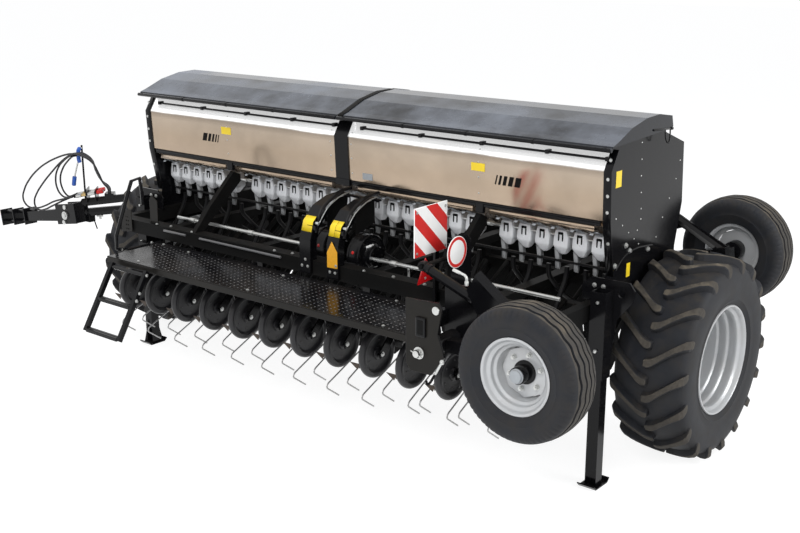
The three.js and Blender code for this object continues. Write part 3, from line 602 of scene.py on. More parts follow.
# %% Roughness and height
dull = node(coat, "ShaderNodeMath", operation="MULTIPLY_ADD")
dull.inputs[1].default_value = 0.5
coat.links.new(masked.outputs[0], dull.inputs[0])
coat.links.new(inside.outputs["Gloss"], dull.inputs[2])
ripple = node(coat, "ShaderNodeMath", operation="MULTIPLY_ADD", use_clamp=True)
ripple.inputs[1].default_value = 0.12
coat.links.new(varied.outputs[0], ripple.inputs[0])
coat.links.new(dull.outputs[0], ripple.inputs[2])
coat.links.new(ripple.outputs[0], outside.inputs["Roughness"])
grains = node(coat, "ShaderNodeMath", operation="MULTIPLY_ADD")
grains.inputs[1].default_value = 0.25
coat.links.new(specks.outputs["Fac"], grains.inputs[0])
coat.links.new(mottle.outputs["Fac"], grains.inputs[2])
coat.links.new(grains.outputs[0], outside.inputs["Height"])
print("group", coat.name, len(coat.nodes), "nodes")

# %% [markdown]
# Most finishes are then this one group in front of a Principled shader, each with its own colours and
# numbers. What is the same all over a surface, such as how metallic it is, stays on the shader.


# %% A material from the coat group
BUMP_DEPTH = 0.001
CLEAR_COAT_ROUGHNESS = 0.05


def finish(name, colour, dust=(0.16, 0.13, 0.10), amount=0.15, up=0.3, gloss=0.25, mottle=0.2,
           mottle_scale=40.0, dust_scale=6.0, bump=0.08, metallic=0.0, specular=0.5, coat_weight=0.0):
    """A material with a dusty, slightly uneven coat of one colour; for the lids the dust part paints a sky
    reflection.
    """
    made = bpy.data.materials.new(name)
    made.use_nodes = True
    tree = made.node_tree
    shader = tree.nodes["Principled BSDF"]
    shader.inputs["Metallic"].default_value = metallic
    shader.inputs["Specular IOR Level"].default_value = specular
    shader.inputs["Coat Weight"].default_value = coat_weight
    shader.inputs["Coat Roughness"].default_value = CLEAR_COAT_ROUGHNESS
    group = node(tree, "ShaderNodeGroup", node_tree=coat)
    group.inputs["Colour"].default_value = (*colour, 1)
    group.inputs["Dust"].default_value = (*dust, 1)
    group.inputs["Dust amount"].default_value = amount
    group.inputs["Up dust"].default_value = up
    group.inputs["Gloss"].default_value = gloss
    group.inputs["Mottle"].default_value = mottle
    group.inputs["Mottle scale"].default_value = mottle_scale
    group.inputs["Dust scale"].default_value = dust_scale
    relief = node(tree, "ShaderNodeBump")
    relief.inputs["Strength"].default_value = bump
    relief.inputs["Distance"].default_value = BUMP_DEPTH
    tree.links.new(group.outputs["Colour"], shader.inputs["Base Color"])
    tree.links.new(group.outputs["Roughness"], shader.inputs["Roughness"])
    tree.links.new(group.outputs["Height"], relief.inputs["Height"])
    tree.links.new(relief.outputs["Normal"], shader.inputs["Normal"])
    return made


print("finish maker ready")

# %% [markdown]
# The black paint is glossy on the hopper and dull on the frame. The lids have their own black, with a painted
# sky reflection: a bluish grey laid in large soft patches on the faces that look up.

# %% Paints
BLACK = finish("black_paint", (0.0042, 0.0042, 0.0050), dust=(0.034, 0.028, 0.023), amount=0.03, up=0.20,
               gloss=0.16, mottle=0.3, dust_scale=4.0, bump=0.05, specular=0.20)
# The bluish grey that the lids take on the faces that look up is a painted sky reflection.
LID = finish("lid_paint", (0.005, 0.006, 0.009), dust=(0.218, 0.240, 0.285), amount=-0.20, up=1.12,
             gloss=0.10, mottle=0.3, dust_scale=0.9, bump=0.03, specular=0.30)
DEEP = finish("dull_black", (0.006, 0.006, 0.006), dust=(0.04, 0.033, 0.027), amount=0.06, up=0.2,
              gloss=0.55, mottle=0.3, specular=0.07)
print("paints", BLACK.name, LID.name, DEEP.name)

# %% Bright metals
ZINC = finish("zinc_plate", (0.62, 0.63, 0.62), dust=(0.36, 0.31, 0.22), amount=0.18, up=0.1, gloss=0.28,
              mottle=0.25, mottle_scale=90, metallic=0.85)
CAST = finish("cast_silver", (0.72, 0.73, 0.75), dust=(0.36, 0.35, 0.34), amount=0.10, up=0.10, gloss=0.38,
              mottle=0.18, mottle_scale=120, bump=0.25, metallic=0.15)
RIM = finish("rim_silver", (0.47, 0.48, 0.49), dust=(0.38, 0.30, 0.22), amount=0.10, up=0.05, gloss=0.33,
             mottle=0.1, mottle_scale=30, metallic=0.35, bump=0.05)
print("metals", ZINC.name, CAST.name, RIM.name)

# %% [markdown]
# Rubber is dark and rough, and what touches the ground is worn pale. So a tyre has two finishes, one for its
# walls and grooves and one for the faces of its lugs.

# %% Rubbers
TYRE = finish("tyre_rubber", (0.013, 0.014, 0.017), dust=(0.060, 0.050, 0.038), amount=0.20, up=0.35,
              gloss=0.62, mottle=0.5, mottle_scale=22, dust_scale=9, bump=0.35, specular=0.3)
WORN = finish("tread_face", (0.052, 0.047, 0.041), dust=(0.17, 0.145, 0.11), amount=0.15, up=0.85,
              gloss=0.75, mottle=0.8, mottle_scale=55, dust_scale=12, bump=0.5, specular=0.2)
HOSE = finish("hose_rubber", (0.014, 0.014, 0.016), dust=(0.07, 0.06, 0.05), amount=0.12, up=0.2, gloss=0.42,
              mottle=0.3, mottle_scale=80, bump=0.15, specular=0.4)
SEED_TUBE = finish("seed_tube_rubber", (0.006, 0.006, 0.0065), dust=(0.03, 0.026, 0.022), amount=0.08,
                   gloss=0.40, mottle=0.3, bump=0.1, specular=0.15)
print("rubbers", TYRE.name, WORN.name, HOSE.name, SEED_TUBE.name)

# %% Working steel, plastics and labels
SPRING = finish("spring_steel", (0.42, 0.42, 0.42), dust=(0.22, 0.17, 0.12), amount=0.18, up=0.1, gloss=0.38,
                mottle=0.5, mottle_scale=70, metallic=0.7)
DISC = finish("disc_steel", (0.07, 0.07, 0.072), dust=(0.10, 0.075, 0.05), amount=0.25, gloss=0.4,
              mottle=0.5, metallic=0.6)
PRESS = finish("press_rubber", (0.012, 0.012, 0.014), dust=(0.05, 0.042, 0.035), amount=0.10, up=0.2,
               gloss=0.34, mottle=0.3, bump=0.12, specular=0.45)
SPOUT = finish("spout_plastic", (0.24, 0.245, 0.25), dust=(0.18, 0.17, 0.16), amount=0.12, gloss=0.35,
               mottle=0.2, bump=0.1)
GREY_PLASTIC = finish("grey_plastic", (0.30, 0.32, 0.34), dust=(0.25, 0.23, 0.2), amount=0.12, gloss=0.35,
                      mottle=0.2, bump=0.1)
YELLOW = finish("yellow_label", (0.86, 0.62, 0.02), dust=(0.5, 0.38, 0.1), amount=0.08, gloss=0.35,
                mottle=0.12, bump=0.03)
WHITE = finish("white_sheet", (0.84, 0.84, 0.83), dust=(0.6, 0.56, 0.5), amount=0.08, gloss=0.35,
               mottle=0.06, bump=0.03)
RED = finish("red_sheet", (0.58, 0.018, 0.016), dust=(0.3, 0.1, 0.08), amount=0.06, gloss=0.35, mottle=0.15,
             bump=0.03)
BLUE = finish("blue_plastic", (0.02, 0.10, 0.45), dust=(0.1, 0.14, 0.3), amount=0.1, gloss=0.35, bump=0.05)
BRASS = finish("brass", (0.62, 0.45, 0.20), dust=(0.25, 0.18, 0.1), amount=0.15, gloss=0.3, metallic=0.9)
SCRAPER = finish("scraper_plate", (0.040, 0.028, 0.020), dust=(0.10, 0.07, 0.045), amount=0.3, gloss=0.4,
                 mottle=0.5, metallic=0.3)
print("materials so far", len(bpy.data.materials))

# %% [markdown]
# The rear wall of the hopper is polished stainless sheet. It is bent in two: the upper part leans back and
# mirrors the bright sky, the lower part leans in and mirrors the warm, blotchy ground. Both mirror images are
# painted into the sheet's colour: a warm, blotchy painted ground reflection below the bend, a darker line at
# the bend and a white painted sky reflection above it.

# %% Polished stainless sheet
STAINLESS = bpy.data.materials.new("polished_stainless")
STAINLESS.use_nodes = True
tree = STAINLESS.node_tree
shader = tree.nodes["Principled BSDF"]
shader.inputs["Metallic"].default_value = 0.80
place = node(tree, "ShaderNodeTexCoord")
split = node(tree, "ShaderNodeSeparateXYZ")
tree.links.new(place.outputs["Object"], split.inputs[0])
# A noise gives the blotches of the painted ground reflection and wobbles the line of the bend.
reflected_ground_blotch = node(tree, "ShaderNodeTexNoise")
reflected_ground_blotch.inputs["Scale"].default_value = 2.2
reflected_ground_blotch.inputs["Detail"].default_value = 5
reflected_ground_blotch.inputs["Roughness"].default_value = 0.55
tree.links.new(place.outputs["Object"], reflected_ground_blotch.inputs["Vector"])
fold = node(tree, "ShaderNodeMath", operation="MULTIPLY_ADD")
fold.inputs[1].default_value = 0.02
tree.links.new(reflected_ground_blotch.outputs["Fac"], fold.inputs[0])
tree.links.new(split.outputs["Z"], fold.inputs[2])
painted_reflection_bands = node(tree, "ShaderNodeValToRGB")
height = node(tree, "ShaderNodeMapRange")
height.inputs["From Min"].default_value = 1.600
height.inputs["From Max"].default_value = 2.080
tree.links.new(fold.outputs[0], height.inputs["Value"])
tree.links.new(height.outputs[0], painted_reflection_bands.inputs["Fac"])
print("sheet ramp up to", round(height.inputs["From Max"].default_value, 3), "m")

# %% Painted reflections of ground and sky on the sheet, by height
# Painted reflection by height: warm ground below the bend, a darker line at the bend, white sky above it.
ramp = painted_reflection_bands.color_ramp
ramp.elements[0].position = 0.0
ramp.elements[0].color = (0.46, 0.36, 0.27, 1)
ramp.elements[1].position = 0.74
ramp.elements[1].color = (1.0, 1.0, 1.0, 1)
for position, colour in ((0.35, (0.44, 0.345, 0.255, 1)), (0.62, (0.47, 0.385, 0.30, 1)),
                         (0.705, (0.33, 0.27, 0.215, 1))):
    step = ramp.elements.new(position)
    step.color = colour
# The noise makes the painted ground reflection lighter and darker in blotches.
painted_reflection_spots = node(tree, "ShaderNodeMapRange")
painted_reflection_spots.inputs["From Min"].default_value = 0.3
painted_reflection_spots.inputs["From Max"].default_value = 0.75
painted_reflection_spots.inputs["To Min"].default_value = 0.84
painted_reflection_spots.inputs["To Max"].default_value = 1.12
tree.links.new(reflected_ground_blotch.outputs["Fac"], painted_reflection_spots.inputs["Value"])
painted_reflection_colour = node(tree, "ShaderNodeVectorMath", operation="SCALE")
tree.links.new(painted_reflection_bands.outputs["Color"], painted_reflection_colour.inputs[0])
tree.links.new(painted_reflection_spots.outputs[0], painted_reflection_colour.inputs["Scale"])
tree.links.new(painted_reflection_colour.outputs[0], shader.inputs["Base Color"])
print("colour stops", len(ramp.elements))

# %% Polish, painted sky glow and relief
brushed = node(tree, "ShaderNodeTexNoise")
brushed.inputs["Scale"].default_value = 30
brushed.inputs["Detail"].default_value = 3
stretch = node(tree, "ShaderNodeMapping")
stretch.inputs["Scale"].default_value = (0.2, 6, 6)
tree.links.new(place.outputs["Object"], stretch.inputs["Vector"])
tree.links.new(stretch.outputs[0], brushed.inputs["Vector"])
polish = node(tree, "ShaderNodeMapRange")
polish.inputs["To Min"].default_value = 0.10
polish.inputs["To Max"].default_value = 0.20
tree.links.new(brushed.outputs["Fac"], polish.inputs["Value"])
tree.links.new(polish.outputs[0], shader.inputs["Roughness"])
# Above the bend the sheet glows white: a painted sky reflection sent out as emission.
sky = node(tree, "ShaderNodeMapRange")
sky.inputs["From Min"].default_value = 1.943
sky.inputs["From Max"].default_value = 1.950
tree.links.new(fold.outputs[0], sky.inputs["Value"])
painted_sky_glow = node(tree, "ShaderNodeCombineColor")
for channel in ("Red", "Green", "Blue"):
    tree.links.new(sky.outputs[0], painted_sky_glow.inputs[channel])
tree.links.new(painted_sky_glow.outputs["Color"], shader.inputs["Emission Color"])
shader.inputs["Emission Strength"].default_value = 0.55
relief = node(tree, "ShaderNodeBump")
relief.inputs["Strength"].default_value = 0.02
relief.inputs["Distance"].default_value = 0.001
tree.links.new(brushed.outputs["Fac"], relief.inputs["Height"])
tree.links.new(relief.outputs["Normal"], shader.inputs["Normal"])
print("materials", len(bpy.data.materials))

# %% [markdown]
# Solids that already have the right shape keep it and take a finish. Those that later pieces replace take one
# too, so that nothing is left grey while the lesson is half done.

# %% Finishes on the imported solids
CAD_FINISHES = {
    "main_frame": DEEP, "end_plate_left": BLACK, "end_plate_right": BLACK,
    "hopper_rear_panel": STAINLESS, "hopper_floor": STAINLESS, "hopper_front_panel": BLACK,
    "hopper_divider": STAINLESS, "hopper_centre_strap": BLACK, "lid_left": LID, "lid_right": LID,
    "metering_bank": CAST, "seed_tubes": SEED_TUBE, "opener_bank_rear": DEEP, "opener_bank_front": DEEP,
    "press_wheel_carrier": BLACK, "harrow": SPRING, "loading_platform": BLACK, "handrail": BLACK,
    "ladder": BLACK, "drive_gearboxes": BLACK, "gearbox_guards": BLACK, "field_tyre_left": TYRE,
    "field_tyre_right": TYRE, "field_rim_left": RIM, "field_rim_right": RIM, "stand_bracket_left": BLACK,
    "stand_bracket_right": BLACK, "stand_left": BLACK, "stand_right": BLACK, "transport_bracket_rear": BLACK,
    "transport_bracket_front": BLACK, "transport_arm_rear": BLACK, "transport_arm_front": BLACK,
    "cylinder_barrel_rear": BLACK, "cylinder_barrel_front": BLACK, "cylinder_rod_rear": ZINC,
    "cylinder_rod_front": ZINC, "transport_tyre_rear": TYRE, "transport_tyre_front": TYRE,
    "transport_rim_rear": RIM, "transport_rim_front": RIM, "rear_signs": WHITE, "transport_boom": BLACK,
    "drawbar_tongue": BLACK,
}
for name, made in CAD_FINISHES.items():
    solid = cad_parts[name]
    solid.data.materials.clear()
    solid.data.materials.append(made)
PRESS_COUNT = 12
for number in range(PRESS_COUNT):
    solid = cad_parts[f"press_wheel_{number + 1:02d}"]
    solid.data.materials.clear()
    solid.data.materials.append(PRESS)
print("finished solids", len(CAD_FINISHES) + PRESS_COUNT)

# %% [markdown]
# Each hose stays a curve of even thickness, takes its finish and stands for the plain tube that came with the
# solids.

# %% Hoses take their finish and replace their plain tubes
for name, line in hoses.items():
    line.data.materials.append(HOSE)
    dress(line, None, "frame", name, slot="rubber")
# %% [markdown]
# The machine runs on two wide tractor-type tyres. Such a tyre is a round carcass with long lugs moulded on
# it in a V: the nose of each lug crosses the middle and its tail bends over the shoulder and fades out on
# the side wall. A spun profile gives the carcass. A lug follows two curvatures at once, so its cross
# sections are placed by numbers and joined, which no single operator does, and it is then copied around.

# %% Half section of a field tyre
FIELD_HUBS = {"left": (-2410, 125, 664), "right": (2292.5, 360, 664)}
FIELD_SIDE = [
    (346, 205), (362, 216), (384, 228), (393, 236), (402, 233), (440, 240), (500, 244), (556, 241), (592, 228),
    (609, 200), (619, 130), (624, 55),
]
CARCASS = [(r, -h) for r, h in FIELD_SIDE] + [(625, 0)] + FIELD_SIDE[::-1]
print("carcass", len(CARCASS), "places")

# %% Stations along a lug
# Stations of a lug: place across the tyre and radius of its face and of its foot, then how far it has
# swung round the tyre, then half its width at the face and at the foot.
LUG_STATIONS = [
    (-15, 659, -18, 616, 0.000, 15, 24), (-8, 663, -10, 616, 0.000, 22, 30),
    (18, 663.5, 18, 616, 0.002, 26, 34), (48, 663, 48, 616, 0.024, 24, 33),
    (112, 660, 112, 612, 0.104, 21, 30), (176, 654, 176, 602, 0.180, 22, 32),
    (224, 643, 220, 588, 0.232, 27, 36), (244, 622, 230, 572, 0.250, 28, 36),
    (247, 588, 234, 556, 0.262, 25, 33),
    (244, 556, 238, 548, 0.270, 14, 20),
]
LUGS_PER_SIDE = 18
print("lug", len(LUG_STATIONS), "stations,", LUGS_PER_SIDE, "a side")


# %% One lug
def lug(name, side):
    """One tread lug on the side -1 or 1, standing at the rear of a tyre with its axle at the origin."""
    mesh = bmesh.new()
    rings = []
    for across, face, foot_across, foot, swing, half, foot_half in LUG_STATIONS:
        ring = []
        for h, r, width in ((foot_across, foot, -foot_half), (across, face, -half), (across, face, half),
                            (foot_across, foot, foot_half)):
            angle = math.pi - swing + width / r
            spot = Vector((side * h, r * math.cos(angle), r * math.sin(angle))) / 1000
            ring.append(mesh.verts.new(spot))
        rings.append(ring)
    for a, b in zip(rings, rings[1:]):
        for k in range(4):
            face = mesh.faces.new((a[k], a[(k + 1) % 4], b[(k + 1) % 4], b[k]))
            face.material_index = 1 if k == 1 else 0
    mesh.faces.new(rings[0])
    mesh.faces.new(rings[-1])
    bmesh.ops.recalc_face_normals(mesh, faces=mesh.faces)
    data = bpy.data.meshes.new(name)
    mesh.to_mesh(data)
    mesh.free()
    data.materials.append(TYRE)
    data.materials.append(WORN)
    one = bpy.data.objects.new(name, data)
    scene.collection.objects.link(one)
    return apply_modifier(one, "BEVEL", width=0.004, segments=1, limit_method="ANGLE")


print("lug maker ready")


# %% A whole field tyre
def field_tyre(name, hub):
    """A whole field tyre with both rows of lugs."""
    carcass = spun(CARCASS, hub, steps=72, name=name)
    carcass.data.materials.append(TYRE)
    carcass.data.materials.append(WORN)
    parts = [smooth(carcass, 40)]
    pitch = math.tau / LUGS_PER_SIDE
    for side in (-1, 1):
        turns = [k * pitch + (pitch / 2 if side > 0 else 0) for k in range(LUGS_PER_SIDE)]
        row = copies(lug("lug", side), [
            Matrix.Translation(at(*hub)) @ Matrix.Rotation(t, 4, "X") for t in turns
        ], "lugs")
        parts.append(row)
    return joined(parts, name)


for word, sign in (("left", -1), ("right", 1)):
    tyre = field_tyre(f"field_tyre_{word}_tread", FIELD_HUBS[word])
    dress(tyre, None, f"field_wheel_{word}", f"field_tyre_{word}", slot="tyre")

# %% [markdown]
# The rim is pressed from sheet with a deep well: seen from outside it is a silver funnel of stepped rings
# that ends in a disc far inside. The whole section, rim, disc and hub, is one closed profile spun in one go.

# %% Section of a field rim
FIELD_RIM = [
    (346, 206), (354, 209), (357, 216), (353, 223), (345, 224), (339, 218), (336, 200), (331, 189), (319, 183),
    (315, 176), (314, 152), (320, 145), (321, 122), (310, 114), (306, 106), (305, 84), (311, 77), (311, 56),
    (299, 47), (296, 38), (295, -20), (288, -38), (270, -44), (210, -46), (120, -47), (98, -46), (92, -38),
    (82, -36), (80, 44), (72, 52), (46, 52), (46, -106), (76, -106), (80, -62), (240, -56), (288, -56),
    (304, -66), (310, -96), (322, -104), (322, -160), (334, -176), (338, -196), (345, -205),
]
print("rim section", len(FIELD_RIM), "places")


# %% Wheel nuts
def wheel_nut(size, height, washer):
    """A hexagon nut on its washer with a stub of its stud, at the origin."""
    bpy.ops.mesh.primitive_cylinder_add(vertices=6, radius=size / 1000, depth=height / 1000,
                                        location=(0, 0, height / 2000))
    nut = bpy.context.active_object
    apply_modifier(nut, "BEVEL", width=size / 9000, segments=1)
    bpy.ops.mesh.primitive_cylinder_add(vertices=14, radius=washer / 1000, depth=0.003,
                                        location=(0, 0, 0.0015))
    ring = bpy.context.active_object
    bpy.ops.mesh.primitive_cylinder_add(vertices=8, radius=size * 0.5 / 1000, depth=height * 0.5 / 1000,
                                        location=(0, 0, height * 1.1 / 1000))
    stud = bpy.context.active_object
    return joined([nut, ring, stud], "nut")


print("nut maker ready")

# %% Both field rims
NUTS_PER_RIM, NUT_CIRCLE = 8, 128
for word, sign in (("left", -1), ("right", 1)):
    hub_x, hub_y, hub_z = FIELD_HUBS[word]
    rim = spun(FIELD_RIM, FIELD_HUBS[word], steps=72, name="rim", flip=sign < 0)
    smooth(rim, 50)
    rim.data.materials.append(RIM)
    cap = rod((hub_x + sign * 44, hub_y, hub_z), (hub_x + sign * 70, hub_y, hub_z), 52, 28, 6)
    smooth(cap, 50).data.materials.append(BLACK)
    turns = [k * math.tau / NUTS_PER_RIM for k in range(NUTS_PER_RIM)]
    nuts = copies(wheel_nut(15, 14, 20), [
        facing((hub_x - sign * 47, hub_y + NUT_CIRCLE * math.cos(t), hub_z + NUT_CIRCLE * math.sin(t)),
               (sign, 0, 0), k)
        for k, t in enumerate(turns)
    ], "nuts")
    nuts.data.materials.append(ZINC)
    whole = joined([rim, cap, nuts], f"field_rim_{word}_spun")
    dress(whole, None, f"field_wheel_{word}", f"field_rim_{word}", slot="rim")
# %% [markdown]
# Two smaller wheels swing down for road transport. Their tyres have straight ribs parted by wavy grooves and
# short slits round the shoulders. A wave can't be spun, so the tread is laid out as rings of points: each
# ring repeats the profile, and the groove points slide sideways in step with the wave.

# %% Section of a ribbed tyre
# Half profile from the bead to the crown as (radius, across, wave share, slit depth).
RIB_HALF = [
    (197, 95, 0, 0), (204, 98, 0, 0), (222, 108, 0, 0), (246, 121, 0, 0), (262, 127, 0, 0), (266, 129, 0, 0),
    (270, 127, 0, 0), (292, 131, 0, 0), (316, 131, 0, 2), (338, 126, 0, 6), (354, 115, 0, 6), (364, 101, 0, 2),
    (370, 88, 0, 0), (372, 74, 1, 0), (360, 71, 1, 0), (360, 62, 1, 0), (376, 59, 1, 0), (378, 38, 1, 0),
    (379, 29, 1, 0), (365, 26, 1, 0), (365, 18, 1, 0), (380, 15, 1, 0),
]
WAVES = 22
WAVE_REACH = 5.0
SLITS = 66
RING_STEPS = 264
CROWN_RADIUS = 369
print("ribbed section", len(RIB_HALF), "places a side")


# %% A ribbed tyre
def ribbed_tyre(name, centre):
    """A tyre about an axle along y, with wavy grooves and shoulder slits."""
    profile = [(r, -h, wave, slit) for r, h, wave, slit in RIB_HALF] + RIB_HALF[::-1]
    mesh = bmesh.new()
    rings = []
    for step in range(RING_STEPS):
        angle = math.tau * step / RING_STEPS
        slide = WAVE_REACH * math.sin(WAVES * angle)
        in_slit = step % (RING_STEPS // SLITS) == 0
        ring = []
        for r, h, wave, slit in profile:
            radius = r - (slit if in_slit else 0)
            spot = Vector((radius * math.cos(angle), h + wave * slide, radius * math.sin(angle))) / 1000
            ring.append(mesh.verts.new(spot))
        rings.append(ring)
    count = len(profile)
    for a, b in zip(rings, rings[1:] + rings[:1]):
        for k in range(count):
            face = mesh.faces.new((a[k], b[k], b[(k + 1) % count], a[(k + 1) % count]))
            crown = min(profile[k][0], profile[(k + 1) % count][0]) > CROWN_RADIUS
            face.material_index = 1 if crown else 0
    bmesh.ops.recalc_face_normals(mesh, faces=mesh.faces)
    data = bpy.data.meshes.new(name)
    mesh.to_mesh(data)
    mesh.free()
    data.materials.append(TYRE)
    data.materials.append(RIB_FACE)
    one = bpy.data.objects.new(name, data)
    scene.collection.objects.link(one)
    one.matrix_world = Matrix.Translation(at(*centre))
    return smooth(settle(one), 38)


# %% Face of the ribs
RIB_FACE = finish("rib_face", (0.045, 0.042, 0.038), dust=(0.15, 0.125, 0.095), amount=0.2, up=0.6, gloss=0.7,
                  mottle=0.6, mottle_scale=50, dust_scale=10, bump=0.3, specular=0.25)
print("rib face", RIB_FACE.name)

# %% [markdown]
# The road rim is a stepped silver dish with an eight-sided disc welded in its well, six wheel nuts and a
# black hub that carries a round grey cap.

# %% Section of a road rim
ROAD_RIM = [
    (197, 96), (206, 99), (213, 103), (215, 108), (210, 112), (203, 111), (197, 104), (193, 90), (186, 82),
    (174, 79), (170, 73), (169, 60), (163, 52), (153, 49), (150, 43), (149, 4), (144, -6), (140, -20),
    (172, -30), (172, -76), (190, -84), (196, -95), (196, 94),
]
ROAD_NUTS, ROAD_NUT_CIRCLE, NUT_TURN = 6, 100, 0.3
print("road rim section", len(ROAD_RIM), "places")


# %% Road wheels, hubs and caps
def road_wheel(word, centre, outward):
    """Tyre, rim, disc, nuts and hub of a transport wheel that faces outward along y, -1 or 1."""
    x, y, z = centre
    body = f"transport_wheel_{word}"
    tyre = ribbed_tyre(f"transport_tyre_{word}_ribbed", centre)
    dress(tyre, None, body, f"transport_tyre_{word}", slot="tyre")
    dish = spun(ROAD_RIM, centre, axis="y", steps=64, name="dish", flip=outward < 0)
    smooth(dish, 50).data.materials.append(RIM)
    octagon = rod((x, y - outward * 10, z), (x, y + outward * 2, z), 146, 8, 3)
    octagon.data.materials.append(RIM)
    turns = [k * math.tau / ROAD_NUTS + NUT_TURN for k in range(ROAD_NUTS)]
    nuts = copies(wheel_nut(14, 16, 17), [
        facing((x + ROAD_NUT_CIRCLE * math.cos(t), y + outward * 2, z + ROAD_NUT_CIRCLE * math.sin(t)),
               (0, outward, 0), k * 0.7)
        for k, t in enumerate(turns)
    ], "nuts")
    nuts.data.materials.append(ZINC)
    flange = rod((x, y - outward * 95, z), (x, y + outward * 14, z), 66, 36, 3)
    barrel = rod((x, y + outward * 12, z), (x, y + outward * 84, z), 48, 36, 4)
    hub = joined([flange, barrel], "hub")
    smooth(hub, 40).data.materials.append(BLACK)
    cap = smooth(rod((x, y + outward * 82, z), (x, y + outward * 104, z), 37, 32, 5), 50)
    rim_of_cap = smooth(rod((x, y + outward * 82, z), (x, y + outward * 92, z), 42, 32, 3), 50)
    lid_of_hub = joined([cap, rim_of_cap], "cap")
    lid_of_hub.data.materials.append(GREY_PLASTIC)
    rim = joined([dish, octagon, nuts, hub, lid_of_hub], f"transport_rim_{word}_dish")
    dress(rim, None, body, f"transport_rim_{word}", slot="rim")


rear_low, rear_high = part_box("transport_tyre_rear")
front_low, front_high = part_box("transport_tyre_front")
for word, low, high, outward in (("rear", rear_low, rear_high, -1), ("front", front_low, front_high, 1)):
    middle = ((low + high) / 2 - MIDDLE) * 1000
    road_wheel(word, tuple(middle), outward)
# %% [markdown]
# The hopper is bolted sheet. Small hardware gives it its scale: a pipe handle with thin clamps along each
# lid, a second rail that the lid stays clip to, columns of screws where the inner braces meet the panel,
# bolted flanges at both ends and rivets along the slope of the floor inside.


# %% Small fasteners, modelled once at the origin
def dome_head(radius, height, sides=12):
    """A low round head for screws and rivets."""
    bpy.ops.mesh.primitive_uv_sphere_add(segments=sides, ring_count=6, radius=radius / 1000)
    head = bpy.context.active_object
    bpy.ops.object.mode_set(mode="EDIT")
    bpy.ops.mesh.select_all(action="SELECT")
    bpy.ops.mesh.bisect(plane_co=(0, 0, 0), plane_no=(0, 0, 1), clear_inner=True, use_fill=True)
    bpy.ops.object.mode_set(mode="OBJECT")
    head.scale = (1, 1, height / radius)
    return smooth(settle(head), 50)


WASHER_SHARE = 1.35


def hex_bolt(radius, height):
    """A hexagon bolt head on a round washer."""
    bpy.ops.mesh.primitive_cylinder_add(vertices=6, radius=radius / 1000, depth=height / 1000,
                                        location=(0, 0, (height / 2 + 1.5) / 1000))
    head = apply_modifier(bpy.context.active_object, "BEVEL", width=radius / 9000, segments=1)
    bpy.ops.mesh.primitive_cylinder_add(vertices=16, radius=radius * WASHER_SHARE / 1000, depth=0.003,
                                        location=(0, 0, 0.0015))
    return joined([head, bpy.context.active_object], "bolt")


print("fasteners ready")

# %% [markdown]
# A pipe runs along the lower edge of each lid as its handle, held by thin clamps. It rides on the lid, while
# the stay rail under it belongs to the hopper, so the two part when a lid is opened.

# %% Lid rails and clamps
LID_CLAMPS = {-1: (606, 1091, 1572), 1: (580, 1083, 1573)}
STAY_CLIPS = {-1: (474, 948, 1425), 1: (680, 1163, 1639)}
STAY_SPANS = {-1: (70, 1931), 1: (175, 2051)}
RAIL_Y, RAIL_Z = -474, 2066
STAY_Y, STAY_Z = -412, 2004
print("clamps a lid", len(LID_CLAMPS[1]))


# %% What rides on a lid
def rail_parts(sign):
    """Everything that rides on one lid: pipe, clamps, rolled lip, lever and slot on its cheek."""
    parts = [smooth(rod((sign * 8, RAIL_Y, RAIL_Z), (sign * 2096, RAIL_Y, RAIL_Z), 13, 20, 2), 50)]
    for x in LID_CLAMPS[sign]:
        clamp = rod((sign * x - 7, RAIL_Y, RAIL_Z), (sign * x + 7, RAIL_Y, RAIL_Z), 15.5, 18)
        strap = block((sign * x - 5, sign * x + 5), (-472, -440), (2079, 2083), 0.8)
        parts += [smooth(clamp, 50), strap]
    for x in (70, 2060):
        parts.append(block((sign * x - 12, sign * x + 12), (-482, -448), (2054, 2080), 3))
    lever = rod((sign * 2101, 30, 2124), (sign * 2101, 262, 2108), 7, 12, 1.5)
    grip = rod((sign * 2101, 262, 2108), (sign * 2101, 286, 2106), 10, 14, 2)
    slot = tube([(sign * 2101, 190, 2104), (sign * 2101, 198, 2050), (sign * 2101, 238, 2012),
                 (sign * 2101, 262, 2046), (sign * 2101, 256, 2100)], 4.5, bend=30)
    return parts + [smooth(lever, 50), smooth(grip, 50), smooth(slot, 50)]


# %% Both rails and stays
for word, sign in (("left", -1), ("right", 1)):
    dress(joined(rail_parts(sign), f"lid_rail_{word}"), BLACK, f"lid_{word}", slot="black")
    near, far = (sign * x for x in STAY_SPANS[sign])
    stay = [smooth(rod((near, STAY_Y, STAY_Z), (far, STAY_Y, STAY_Z), 8, 14, 1), 50)]
    for x in (*STAY_CLIPS[sign], STAY_SPANS[sign][0] + 6, STAY_SPANS[sign][1] - 8):
        stay.append(block((sign * x - 12, sign * x + 12), (-424, -380), (1992, 2018), 3))
    dress(joined(stay, f"lid_stay_{word}"), BLACK, "frame", slot="black")

# %% [markdown]
# Where the two lids meet, the right one carries a black strap that keeps rain out of the joint. It is a plate
# cut to the curve of the lid and stands a few millimetres proud of it.

# %% Strap over the joint of the lids
STRAP_TOP = [(-470, 2062), (-458, 2089), (-404, 2107.5), (-238, 2173), (-50, 2211), (60, 2212.2),
             (135, 2212.2),
             (272, 2191)]
STRAP_UNDER = [(272, 2183), (110, 2209), (-55, 2203), (-235, 2165), (-400, 2100), (-452, 2083), (-461, 2062)]
strap = plate(STRAP_TOP + STRAP_UNDER, "x", 3, 47, 0.8, name="lid_joint_strap")
dress(strap, DEEP, "lid_right", slot="black")
print("strap reaches", round(max(v.co.z for v in strap.data.vertices), 4))

# %% [markdown]
# The panel's edges are where black steel meets bright sheet. A folded flange runs down each end, a rolled
# rail closes the lower edge, and the bright floor shows as a second narrow strip under it.

